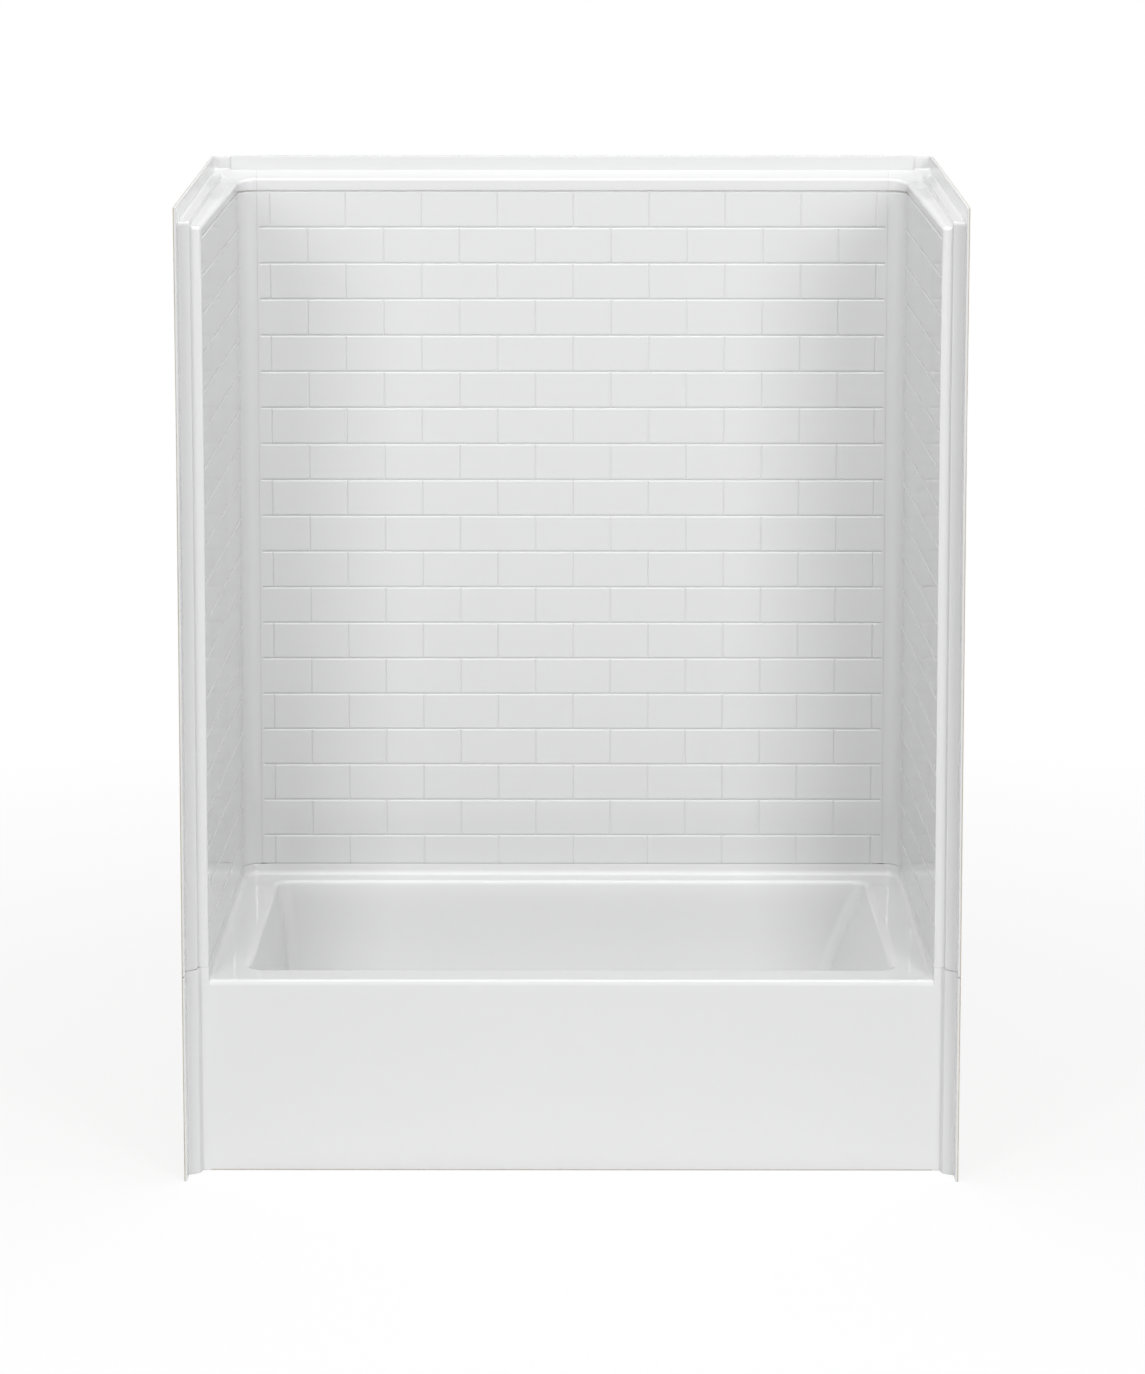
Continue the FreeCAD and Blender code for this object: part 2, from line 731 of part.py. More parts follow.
back_seam_holes(back_seal, seam_hole_start, seam_hole_length)


def hexagon(radius, height):
    """A hexagonal bar that stands on the XY plane."""
    ring = [FreeCAD.Vector(radius * math.cos(math.radians(60 * k)),
                           radius * math.sin(math.radians(60 * k)), 0) for k in range(7)]
    return Part.Face(Part.makePolygon(ring)).extrude(FreeCAD.Vector(0, 0, height))


def bolt_shape(grip):
    """A hexagon-head bolt along +Z, with its washer face at z = 0 and its shank pointing down."""
    head = hexagon(d.bolt_head_radius.value, d.bolt_head_height.value)
    head.translate(FreeCAD.Vector(0, 0, d.washer_height.value))
    length = grip + d.washer_height.value * 2 + d.nut_height.value + d.bolt_tail.value
    top = FreeCAD.Vector(0, 0, d.washer_height.value)
    down = FreeCAD.Vector(0, 0, -1)
    shank = Part.makeCylinder(d.bolt_radius.value, length, top, down)
    return head.fuse(shank)


def ring_shape(outer, inner, height, level):
    """A flat ring standing on the given level."""
    base = FreeCAD.Vector(0, 0, level)
    return Part.makeCylinder(outer, height, base).cut(Part.makeCylinder(inner, height, base))


def nut_shape(grip):
    """A hexagon nut below the grip, under its washer."""
    level = -grip - d.washer_height.value - d.nut_height.value
    nut = hexagon(d.bolt_head_radius.value, d.nut_height.value)
    nut.translate(FreeCAD.Vector(0, 0, level))
    hole_base = FreeCAD.Vector(0, 0, level)
    bolt_room = d.bolt_radius.value + d.thread_clearance.value
    return nut.cut(Part.makeCylinder(bolt_room, d.nut_height.value, hole_base))


def washer_shapes(grip):
    """The two washers of one bolt."""
    inner = d.bolt_radius.value + d.thread_clearance.value
    outer = d.washer_radius.value
    high = ring_shape(outer, inner, d.washer_height.value, 0)
    low = ring_shape(outer, inner, d.washer_height.value, -grip - d.washer_height.value)
    return [high, low]


def fastener_group(label, shapes, spots, turn_axis, turn):
    """Copies of the shapes at each spot, turned from +Z, as one group of separate solids."""
    solids = []
    for spot in spots:
        for shape in shapes:
            copy = shape.copy()
            copy.rotate(FreeCAD.Vector(0, 0, 0), turn_axis, turn)
            copy.translate(spot)
            solids.append(copy)
    group = doc.addObject("Part::Feature", label)
    group.Shape = Part.makeCompound(solids)
    group.Label = label
    return group


def spread(first, span, count):
    """Evenly spaced places from first over a span."""
    steps = int(count.value) - 1
    return [first.value + span.value * k / steps for k in range(steps + 1)]


corner_heights = spread(corner_bolt_low, corner_bolt_span, d.corner_bolt_count)
corner_grip = (d.panel_skin * 2 + d.seal_thickness).value
across = FreeCAD.Vector(0, 1, 0)
groups = []
for name, side in (("left", -1), ("right", 1)):
    head_x = side * (back_joint_half - d.panel_skin).value
    spots = [FreeCAD.Vector(head_x, corner_bolt_y.value, level) for level in corner_heights]
    turn = -90 * side
    groups.append(fastener_group(f"corner_bolts_{name}", [bolt_shape(corner_grip)], spots, across, turn))
    groups.append(fastener_group(f"corner_nuts_{name}", [nut_shape(corner_grip)], spots, across, turn))
    groups.append(fastener_group(f"corner_washers_{name}", washer_shapes(corner_grip), spots, across,
                                 turn))
seam_grip = (d.tub_skin + d.seal_thickness + d.panel_skin).value
seam_top = (d.seam_level + d.panel_skin).value
seam_spots = [FreeCAD.Vector(x, back_bolt_y.value, seam_top)
              for x in spread(back_bolt_first, d.back_bolt_span, d.back_bolt_count)]
for side in (-1, 1):
    seam_spots += [FreeCAD.Vector(side * side_bolt_x.value, y, seam_top)
                   for y in spread(side_bolt_first, d.side_bolt_span, d.side_bolt_count)]
groups.append(fastener_group("seam_bolts", [bolt_shape(seam_grip)], seam_spots, across, 0))
groups.append(fastener_group("seam_nuts", [nut_shape(seam_grip)], seam_spots, across, 0))
groups.append(fastener_group("seam_washers", washer_shapes(seam_grip), seam_spots, across, 0))

# Backing boards bonded to the laminate: behind the walls, behind the apron and under the basin
back_board = new_body("back_wall_board")
prism(back_board, "back_wall_board_pad", "XY_Plane", d.back_board_low,
      rectangle(-d.back_board_half, d.back_board_half, back_face + d.panel_skin,
                back_face + d.panel_skin + d.board_skin),
      d.back_board_tall)
slope = (wall_front_half - wall_back_half) / (back_face - apron_face)


def wall_back_x(y):
    """The side wall's rear face, as a distance from the middle of the unit, at depth y."""
    return wall_front_half + d.panel_skin - slope * (y - apron_face - d.panel_skin)


board_front = apron_face + d.side_board_front
board_back = board_front + d.side_board_length
for name, side in (("left", -1), ("right", 1)):
    board = new_body(f"{name}_wall_board")
    prism(board, f"{name}_wall_board_pad", "XY_Plane", d.back_board_low, mirrored(side, [
        (wall_back_x(board_front), board_front),
        (wall_back_x(board_back), board_back),
        (wall_back_x(board_back) + d.board_skin, board_back),
        (wall_back_x(board_front) + d.board_skin, board_front),
    ]), d.back_board_tall)
apron_board = new_body("apron_board")
prism(apron_board, "apron_board_pad", "XY_Plane", d.apron_board_low,
      rectangle(-d.apron_board_half, d.apron_board_half, apron_face + d.tub_skin,
                apron_face + d.tub_skin + d.board_skin),
      d.apron_board_tall)
floor_under = d.basin_floor_level - d.tub_skin
base_board = new_body("base_board")
prism(base_board, "base_board_pad", "XY_Plane", floor_under - d.board_skin,
      rectangle(floor_left + d.base_board_inset, floor_right - d.base_board_inset,
                floor_front + d.base_board_inset, floor_back - d.base_board_inset),
      d.board_skin)
bore(base_board, "base_board_hole", "XY_Plane", floor_under - d.board_skin - d.overrun,
     drain_x, drain_y, d.shoe_radius + d.board_hole_clearance, d.board_skin + d.overrun * 2)
for name, y_low in (("front", floor_front + d.runner_inset),
                    ("rear", floor_back - d.runner_inset - d.runner_width)):
    runner = new_body(f"base_runner_{name}")
    prism(runner, f"base_runner_{name}_pad", "XY_Plane", zero,
          rectangle(floor_left + d.base_board_inset, floor_right - d.base_board_inset,
                    y_low, y_low + d.runner_width),
          floor_under - d.board_skin)

# Waste: a flanged drain body screwed down into an elbow under the floor, with a push-down stopper that
# slides on a post. Each piece is turned about the drain's axis and placed at the drain.
drain_top = d.drain_flange_skin
body_foot = drain_top - d.drain_body_length
bar_low = body_foot
bar_high = bar_low + d.drain_bar_height
drain_body = new_body("drain_flange")
turned(drain_body, "drain_flange_turned", [
    (d.drain_bore_radius, body_foot),
    (d.drain_body_radius, body_foot),
    (d.drain_body_radius, zero),
    (d.drain_flange_radius, zero),
    (d.drain_flange_radius, drain_top / 2),
    (d.drain_body_radius, drain_top),
    (d.drain_bore_radius, drain_top),
])
wall_middle = (d.drain_bore_radius + d.drain_body_radius) / 2
prism(drain_body, "drain_bar", "XY_Plane", bar_low,
      rectangle(-wall_middle, wall_middle, -d.drain_bar_width / 2, d.drain_bar_width / 2),
      d.drain_bar_height)
round_bar(drain_body, "drain_boss", "XY_Plane", bar_low, zero, zero, d.drain_boss_radius,
          d.drain_boss_height)
placed(drain_body, drain_x, drain_y, d.basin_floor_level)

drain_washer = new_body("drain_washer")
washer_top = -d.tub_skin
turned(drain_washer, "drain_washer_turned", [
    (d.drain_body_radius + d.thread_clearance, washer_top - d.drain_washer_skin),
    (d.shoe_radius, washer_top - d.drain_washer_skin),
    (d.shoe_radius, washer_top),
    (d.drain_body_radius + d.thread_clearance, washer_top),
])
placed(drain_washer, drain_x, drain_y, d.basin_floor_level)

# The elbow stands clear of the ground, and its outlet runs level under the drain end of the basin. The
# collar on it stops the trap's slip joint.
shoe_top = floor_under - d.drain_washer_skin
outlet_level = d.shoe_floor_gap + d.outlet_radius
outlet_end = -half_width + d.outlet_end_inset
shoe = new_body("drain_elbow")
round_bar(shoe, "elbow_cup", "XY_Plane", d.shoe_floor_gap, drain_x, drain_y, d.shoe_radius,
          shoe_top - d.shoe_floor_gap)
round_bar(shoe, "elbow_outlet", "YZ_Plane", outlet_end, drain_y, outlet_level, d.outlet_radius,
          drain_x - outlet_end)
round_bar(shoe, "elbow_collar", "YZ_Plane", outlet_end + d.slip_length, drain_y, outlet_level,
          d.outlet_radius + d.slip_collar_rise, d.slip_collar_width)
bore(shoe, "elbow_bore", "YZ_Plane", outlet_end - d.overrun, drain_y, outlet_level,
     d.outlet_radius - d.outlet_wall, drain_x - outlet_end + d.overrun)
bore(shoe, "elbow_thread", "XY_Plane", d.shoe_floor_gap + d.shoe_wall, drain_x, drain_y,
     d.drain_body_radius + d.thread_clearance, shoe_top - d.shoe_floor_gap)

post_foot = bar_low + d.drain_boss_height
post = new_body("stopper_post")
round_bar(post, "stopper_post_pad", "XY_Plane", post_foot, zero, zero, d.post_radius, d.post_height)
placed(post, drain_x, drain_y, d.basin_floor_level)

seal_low = drain_top + d.seat_gap
seal_high = seal_low + d.stopper_seal_skin
stem_bore = d.post_radius + d.stem_clearance
stem_outer = stem_bore + d.stem_wall
stopper = new_body("drain_stopper")
turned(stopper, "drain_stopper_turned", [
    (stem_bore, post_foot + d.seat_gap),
    (stem_outer, post_foot + d.seat_gap),
    (stem_outer, seal_low),
    (d.stopper_seal_radius - d.stopper_seal_width, seal_low),
    (d.stopper_seal_radius - d.stopper_seal_width, seal_high),
    (d.stopper_radius, seal_high),
    (d.stopper_radius, seal_high + d.stopper_skin / 2),
    (d.stopper_radius - d.stopper_skin, seal_high + d.stopper_skin),
    (zero, seal_high + d.stopper_dome),
    (zero, seal_high + d.seat_gap),
    (stem_bore, seal_high + d.seat_gap),
])
placed(stopper, drain_x, drain_y, d.basin_floor_level)
stopper_seal = new_body("stopper_seal")
turned(stopper_seal, "stopper_seal_turned", [
    (d.stopper_seal_radius - d.stopper_seal_width, seal_low),
    (d.stopper_seal_radius, seal_low),
    (d.stopper_seal_radius, seal_high),
    (d.stopper_seal_radius - d.stopper_seal_width, seal_high),
])
placed(stopper_seal, drain_x, drain_y, d.basin_floor_level)

doc.recompute()
for item in doc.Objects:
    if "Invalid" in item.State or "Error" in item.State:
        raise RuntimeError(f"{item.Label} failed: {item.State}")

pieces = [item for item in doc.Objects if item.TypeId == "PartDesign::Body"]
pieces = [item for item in pieces if not item.Label.endswith("_wall_body")]
pieces += [back_panel, left_panel, right_panel] + groups
for piece in pieces:
    if piece.Shape.isNull() or not piece.Shape.isValid():
        raise RuntimeError(f"{piece.Label} has no valid shape")
os.makedirs("parts", exist_ok=True)
for piece in pieces:
    piece.Shape.exportStep(f"parts/{piece.Label}.step")
    print(piece.Label, len(piece.Shape.Solids), round(piece.Shape.Volume))
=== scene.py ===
import math
import bmesh
import bpy
import numpy as np
from mathutils import Matrix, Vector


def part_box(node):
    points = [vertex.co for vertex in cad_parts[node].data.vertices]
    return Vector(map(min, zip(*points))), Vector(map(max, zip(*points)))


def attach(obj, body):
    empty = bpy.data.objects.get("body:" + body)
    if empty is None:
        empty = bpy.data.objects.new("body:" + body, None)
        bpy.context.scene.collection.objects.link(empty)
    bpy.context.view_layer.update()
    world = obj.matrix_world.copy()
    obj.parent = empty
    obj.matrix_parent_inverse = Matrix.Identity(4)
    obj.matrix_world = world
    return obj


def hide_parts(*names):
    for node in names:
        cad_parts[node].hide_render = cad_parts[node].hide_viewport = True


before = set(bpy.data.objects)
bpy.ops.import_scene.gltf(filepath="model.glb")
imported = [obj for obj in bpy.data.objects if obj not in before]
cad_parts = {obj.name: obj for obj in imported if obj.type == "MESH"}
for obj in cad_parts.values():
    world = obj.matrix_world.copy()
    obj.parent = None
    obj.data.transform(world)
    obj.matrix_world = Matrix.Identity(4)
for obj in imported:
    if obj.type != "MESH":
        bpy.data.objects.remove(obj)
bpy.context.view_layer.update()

# Tub: one moulding of white gelcoat backed with chopped-glass laminate, with the apron, deck, basin and
# front returns in one. It stands on the floor, is nailed to the studs through its flanges and carries the
# wall panels on its top. Places are in metres: x to the right, y from the apron to the wall, z up.
mm = 0.001
tub_top = float(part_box("tub_shell")[1][2])
side_low, side_high = (np.array(corner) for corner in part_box("right_wall_panel"))
half_width = float(side_high[0])
front_edge = float(side_low[1])
rear_edge = float(side_high[1])
tub_skin = 8 * mm
apron_face = front_edge + 70 * mm
wall_front_half = 714 * mm
deck_level = 407 * mm
deck_edge_radius = 13 * mm
foot_round = 3.5 * mm
# Rows at the apron's foot painted in the laminate colour as the shadow along the floor.
painted_shadow_rows = 4


def quarter(count):
    """Angles from 0 to a right angle."""
    return np.linspace(0, math.pi / 2, count)


def plan(x, y):
    """Points from their x and y, either of which may be one number for all."""
    return np.stack(np.broadcast_arrays(x, y), axis=-1)


def raised(path, z):
    """Plan points lifted to a height, or each to its own."""
    return np.concatenate([path, np.broadcast_to(z, len(path))[:, None]], axis=-1)


def grid_quads(rows, columns, loop=False):
    """Corner numbers of the quads of a grid, closed along its columns where loop is true."""
    ahead = (np.arange(columns) + 1) % columns
    here = np.arange(columns)
    if not loop:
        here, ahead = here[:-1], ahead[:-1]
    row = np.arange(rows - 1)[:, None] * columns
    quads = np.stack([row + here, row + ahead, row + columns + ahead, row + columns + here], axis=-1)
    return quads.reshape(-1, 4)


def shell(front, rear, loop=False):
    """A closed sheet between a front and a rear grid of the same shape: both faces and the rims between
    them. Returns its points, its quads and 1 for each point on the rear."""
    rows, columns = front.shape[:2]
    count = rows * columns
    points = np.concatenate([front.reshape(-1, 3), rear.reshape(-1, 3)])
    faces = grid_quads(rows, columns, loop)
    numbers = np.arange(count).reshape(rows, columns)
    rims = [numbers[0, :], numbers[-1, ::-1]]
    if not loop:
        rims += [numbers[::-1, 0], numbers[:, -1]]
    quads = [faces, faces[:, ::-1] + count]
    for rim in rims:
        ahead = np.roll(rim, -1) if loop else rim[1:]
        here = rim if loop else rim[:-1]
        quads.append(np.stack([here, here + count, ahead + count, ahead], axis=-1))
    side = np.concatenate([np.zeros(count), np.ones(count)])
    return points, np.concatenate(quads), side


def apron_part():
    """The apron and its roll: an upright profile of foot, face and quarter roll, swept from side to
    side. The lowest rows take the bare laminate's colour as a painted shadow, the dark contact line
    along the floor."""
    turn, foot = quarter(12), quarter(5)
    face_y = np.concatenate([apron_face + foot_round * (1 - np.sin(foot)),
                             np.full(12, apron_face),
                             apron_face + deck_edge_radius * (1 - np.cos(turn))])
    face_z = np.concatenate([foot_round * (1 - np.cos(foot)),
                             np.linspace(foot_round, deck_level - deck_edge_radius, 14)[1:-1],
                             deck_level - deck_edge_radius + deck_edge_radius * np.sin(turn)])
    across = np.linspace(-wall_front_half, wall_front_half, 60)
    front = np.stack(np.broadcast_arrays(across, face_y[:, None], face_z[:, None]), axis=-1)
    inner_y = np.maximum(face_y, apron_face) + tub_skin
    inner_z = np.minimum(face_z, deck_level - tub_skin)
    rear = np.stack(np.broadcast_arrays(across, inner_y[:, None], inner_z[:, None]), axis=-1)
    points, quads, laminate_and_shadow_mark = shell(front, rear)
    # Painted shadow: the lowest rows get the dark laminate colour, standing in for the contact shadow.
    laminate_and_shadow_mark[:painted_shadow_rows * len(across)] = 1
    return points, quads, laminate_and_shadow_mark


# Tub, front returns: beside the apron the moulding steps forward to an inner and an outer strip and ends in
# an upright nailing flange, trimmed to size. The flange's outer side, against the stud, is bare laminate,
# and that colour reaches onto the outer part of its front edge as painted shade.
flange_skin = 6 * mm
small_round = 0.8 * mm
strip_face = front_edge + 44 * mm
flange_inside = half_width - flange_skin
strip_inner = flange_inside - 20 * mm
step_inner, strip_turn = strip_inner - 7 * mm, strip_inner - 2 * mm
strip_low, strip_high = strip_face + 8 * mm, strip_face - 5 * mm
crest_round, crest_lean = 1.5 * mm, 0.4 * mm
heel_run, heel_drop = 1.2 * mm, 1 * mm
fillet_run, fillet_rise = 3 * mm, 2 * mm
rear_lean_share = 0.7
notch_run, notch_lift = 10 * mm, 4 * mm
tub_fin_length = 52 * mm
# Laminate colour from the flanges' outer side: real there, painted shade where it reaches the front edge.
bare_and_shaded_depth = 2.2 * mm
rounded, trimmed = 0.5, 0.08


def bend(first, corner, last, count):
    """Points of the quadratic curve from first to last that turns at corner."""
    t = np.linspace(0, 1, count)[:, None]
    first, corner, last = (np.array(point, dtype=float) for point in (first, corner, last))
    return (1 - t) ** 2 * first + 2 * t * (1 - t) * corner + t ** 2 * last


def return_path(side):
    """Plan of one front return on the right, mirrored for side -1: inner strip, leaning step, outer strip
    and the fillet into the nailing flange."""
    steps = [
        [(wall_front_half + run * mm, apron_face) for run in (0, 1.5, 3, 4.5, 6, 8, 10)],
        bend((step_inner - crest_round, apron_face), (step_inner, apron_face),
             (step_inner + crest_lean, apron_face - crest_round), 6),
        bend((strip_turn - crest_lean, strip_low + crest_round), (strip_turn, strip_low),
             (strip_turn + heel_run, strip_low - heel_drop), 6),
        bend((flange_inside - fillet_run, strip_high + fillet_rise), (flange_inside, strip_high),
             (flange_inside, strip_high - fillet_run), 6),
    ]
    path = np.concatenate([np.array(step, dtype=float) for step in steps])
    path[:, 0] *= side
    return path


def tub_return(side):
    """One front return of the tub, from the floor to the seam. The deck's roll runs out in it to a
    point: a notch whose radius shrinks to nothing over the notch's run."""
    path = return_path(side)
    turn = quarter(5)
    near_roll = np.array([-13, -11, -9.5, -8, -6.5, -5, -3.5, -2, -0.8, -0.2, 0.3]) * mm
    plain = np.linspace(foot_round, tub_top - small_round, 30)[1:-1]
    face = np.sort(np.concatenate([plain, deck_level + near_roll]))
    z = np.concatenate([foot_round * (1 - np.cos(turn)), face,
                        tub_top - small_round + small_round * np.sin(turn)])
    back = np.concatenate([foot_round * (1 - np.sin(turn)), np.zeros(len(face)),
                           small_round * (1 - np.cos(turn))])
    share = np.clip((np.abs(path[:, 0]) - wall_front_half) / notch_run, 0, 1)
    radius = deck_edge_radius * (1 - share)
    rise = z[:, None] - (deck_level - deck_edge_radius + notch_lift * share)
    notch = radius - np.sqrt(np.maximum(radius ** 2 - rise ** 2, 0))
    notch = np.where((rise > 0) & (rise <= radius), notch, 0)
    front = np.empty((len(z), len(path), 3))
    front[..., 0] = path[None, :, 0]
    front[..., 1] = path[None, :, 1] + back[:, None] + notch
    front[..., 2] = z[:, None]
    moved = path + np.array([side * tub_skin * rear_lean_share, tub_skin])
    rear = front.copy()
    rear[..., 0] = np.minimum(np.abs(moved[None, :, 0]), half_width - small_round) * side
    rear[..., 1] = moved[None, :, 1] + notch
    return shell(front, rear)


def tube(rings):
    """A closed solid from rings of points: rows are rings, and the first and last are capped by fans to
    their middles."""
    rows, columns = rings.shape[:2]
    caps = np.stack([rings[0].mean(axis=0), rings[-1].mean(axis=0)])
    points = np.concatenate([rings.reshape(-1, 3), caps])
    faces = grid_quads(rows, columns, loop=True)
    here = np.arange(columns)
    ahead = np.roll(here, -1)
    first = np.full(columns, rows * columns)
    base = (rows - 1) * columns
    start_fan = np.stack([ahead, here, first, first], axis=-1)
    end_fan = np.stack([base + here, base + ahead, first + 1, first + 1], axis=-1)
    return points, np.concatenate([faces, start_fan, end_fan]), np.zeros(len(points))


def plate(path, thickness, z_low, z_high, edge=rounded):
    """An upright plate along a plan path: each section is a bar from z_low to z_high, whose edges and ends
    are half circles where edge is 0.5, and cut nearly square where it is much less."""
    step = np.gradient(path, axis=0)
    normal = plan(step[:, 1], -step[:, 0])
    normal /= np.linalg.norm(normal, axis=-1, keepdims=True)
    run = np.concatenate([[0], np.cumsum(np.linalg.norm(np.diff(path, axis=0), axis=-1))])
    half = thickness / 2
    ends = np.minimum(run, run[-1] - run)
    width = half * np.clip(1 - (1 - np.minimum(ends / half, 1)) ** 2, 0.001, 1) ** edge
    turn = np.linspace(0, math.pi, 9)
    side_count = 12
    rise = np.linspace(0, 1, side_count)
    over = np.sign(np.cos(turn)) * np.abs(np.cos(turn)) ** (2 * edge)
    up = np.abs(np.sin(turn)) ** (2 * edge)
    across = np.concatenate([np.ones(side_count), over, -np.ones(side_count), -over])
    level = np.concatenate([rise, np.ones(9), rise[::-1], np.zeros(9)])
    lift = np.concatenate([np.zeros(side_count), up, np.zeros(side_count), -up])
    z_low = np.broadcast_to(z_low, run.shape)[:, None]
    z_high = np.broadcast_to(z_high, run.shape)[:, None]
    low, high = z_low + half, z_high - half
    rings = np.empty((len(path), len(across), 3))
    rings[..., :2] = path[:, None] + normal[:, None] * (width[:, None] * across)[..., None]
    rings[..., 2] = low + (high - low) * level + lift * half
    return tube(rings)


def nose_run(length, thickness):
    """Places along a plate, close together at both ends where its nose is round."""
    half = thickness / 2
    ends = half * (1 - np.cos(quarter(6)))
    return np.concatenate([ends, np.linspace(half, length - half, 14)[1:-1], length - ends[::-1]])


def bare_side_and_painted_shade(part):
    """The same plate with bare laminate on the side that lies against the studs, where |x| is largest.
    The band also takes in the outer part of the front edge, where it is painted shade.
    """
    points, quads, rear = part
    # Real bare laminate on the outer side, painted shade on the outer part of the front edge.
    return points, quads, np.where(np.abs(points[:, 0]) > half_width - bare_and_shaded_depth, 1.0, rear)


def tub_fin(side):
    """The upright nailing flange beside the front return."""
    path = plan(side * (half_width - flange_skin / 2), front_edge + nose_run(tub_fin_length, flange_skin))
    # Its outer side and the outer part of its front edge take the laminate colour, the latter as painted
    # shade.
    return bare_side_and_painted_shade(plate(path, flange_skin, 0.0, tub_top, trimmed))


# Tub, deck and basin: the flat deck turns down over a soft rim into the basin, whose drain end is steep
# and whose other end slopes as a backrest. The floor falls towards the drain.
back_face = rear_edge - 50 * mm
wall_back_half = 691 * mm
slant = math.atan2(wall_front_half - wall_back_half, back_face - apron_face)
deck_lap = 4 * mm
basin_half = 636 * mm
basin_front = apron_face + 73 * mm
basin_back = back_face - 49 * mm
basin_floor = 70 * mm
basin_depth = deck_level - basin_floor
basin_corner = 26 * mm
deck_corner = 1 * mm
deck_flat = 20 * mm
front_mouth_share, back_mouth_share = 1.006, 0.975
mouth_fade_low, mouth_fade_rise = 150 * mm, 200 * mm
floor_rise = 60 * mm
deck_shares = np.linspace(0.25, 0.97, 4)
rim_radius = 11 * mm
foot_radius = 46 * mm
drain_run, backrest_run, front_run, back_run = 59 * mm, 163 * mm, 45 * mm, 60 * mm
corner_growth, foot_corner_growth = 8 * mm, 14 * mm
floor_fall_share = 0.005
drain_low, drain_high = (np.array(corner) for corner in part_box("drain_flange"))
drain_spot = (drain_low + drain_high)[:2] / 2
drain_hole = 23 * mm


def wall_half(y):
    """Half the clear width between the walls at depth y."""
    return wall_front_half - (y - apron_face) * math.tan(slant)


def smooth(share):
    """The S-curve 3s2 - 2s3 of a share, held between 0 and 1."""
    share = np.clip(share, 0, 1)
    return share * share * (3 - 2 * share)


def ring_normals(points):
    """Unit normals of a grid of closed rings: the cross product of the differences along and across
    them."""
    along = np.roll(points, -1, axis=1) - np.roll(points, 1, axis=1)
    normal = np.cross(along, np.gradient(points, axis=0))
    size = np.linalg.norm(normal, axis=-1, keepdims=True)
    return normal / np.maximum(size, 1e-12)


def spoke(angle):
    """Points on the circle of radius 1 in plan."""
    return plan(np.cos(angle), np.sin(angle))


def ring(x_low, x_high, y_low, y_high, radius, straight=24, corner=12):
    """A rounded rectangle as a closed row of points, anticlockwise from its left front corner, always
    with as many points along each side and round each corner."""
    share = np.linspace(0, 1, straight + 1)[:-1, None]
    turn = quarter(corner + 1)[:-1]
    left, right, near, far = x_low + radius, x_high - radius, y_low + radius, y_high - radius
    middles = np.array([(left, near), (right, near), (right, far), (left, far)])
    rows = []
    for k, (here, following) in enumerate(zip(middles, np.roll(middles, -1, axis=0))):
        aim = math.pi * 1.5 + k * math.pi / 2
        rows.append(here + radius * spoke(aim) + share * (following - here))
        rows.append(following + radius * spoke(aim + turn))
    return np.concatenate(rows)


def basin_ring(insets, radius):
    """The basin's outline drawn in from its opening by a length for the drain end, the backrest, the
    front and the back."""
    left, right, near, far = insets
    return ring(-basin_half + left, basin_half - right, basin_front + near, basin_back - far, radius)


def basin_part():
    """Deck, rim, basin walls, foot and floor as one grid of rings, from the deck's edge to the drain. The
    rim and the foot are quadratic curves, and the walls draw in evenly with their depth. The deck's ends
    then follow the side walls, the mouth narrows towards the back, and the floor climbs from the drain."""
    runs = np.array([drain_run, backrest_run, front_run, back_run])
    full = wall_front_half + deck_lap
    border = ring(-full, full, apron_face + deck_edge_radius, back_face + deck_lap, deck_corner)
    mouth = basin_ring(np.full(4, -rim_radius), basin_corner + rim_radius)
    rows = [(border, deck_level)]
    for share in deck_shares:
        rows.append((border * (1 - share) + mouth * share, deck_level))
    for t in np.linspace(0, 1, 12):
        inset = -rim_radius * (1 - t) ** 2 + t ** 2 * (runs * rim_radius / basin_depth)
        radius = basin_corner + rim_radius * (1 - t)
        rows.append((basin_ring(inset, radius), deck_level - rim_radius * t * t))
    for drop in np.linspace(rim_radius, basin_depth - foot_radius, 16)[1:-1]:
        radius = basin_corner + corner_growth * drop / basin_depth
        rows.append((basin_ring(runs * drop / basin_depth, radius), deck_level - drop))
    for t in np.linspace(0, 1, 12):
        start = runs * (basin_depth - foot_radius) / basin_depth
        inset = (1 - t) ** 2 * start + 2 * t * (1 - t) * runs + t * t * (runs + foot_radius)
        radius = basin_corner + corner_growth + foot_corner_growth * (t - 1)
        rows.append((basin_ring(inset, radius), basin_floor + foot_radius * (1 - t) ** 2))
    last = rows[-1][0]
    angle = np.arctan2(last[:, 1] - drain_spot[1], last[:, 0] - drain_spot[0])
    hole = drain_spot + drain_hole * spoke(angle)
    for share in np.linspace(0, 1, 22)[1:]:
        rows.append((last * (1 - share) + hole * share, basin_floor))
    points = np.array([raised(row, z) for row, z in rows])
    edge = smooth((np.abs(points[..., 0]) - basin_half - deck_flat) / (full - basin_half - deck_flat))
    points[..., 0] *= 1 + edge * ((wall_half(points[..., 1]) + deck_lap) / full - 1)
    draw = np.interp(points[..., 1], [basin_front, basin_back], [front_mouth_share, back_mouth_share]) - 1
    points[..., 0] *= 1 + draw * (1 - edge) * smooth((points[..., 2] - mouth_fade_low) / mouth_fade_rise)
    away = np.hypot(points[..., 0] - drain_spot[0], points[..., 1] - drain_spot[1])
    floor_share = smooth((basin_floor + floor_rise - points[..., 2]) / floor_rise)
    points[..., 2] += floor_fall_share * np.maximum(away - drain_hole * 2, 0) * floor_share
    normal = ring_normals(points)
    up = np.where(normal[..., 2:] < 0, -1.0, 1.0)
    rear = points - normal * up * tub_skin
    return shell(points, rear, loop=True)


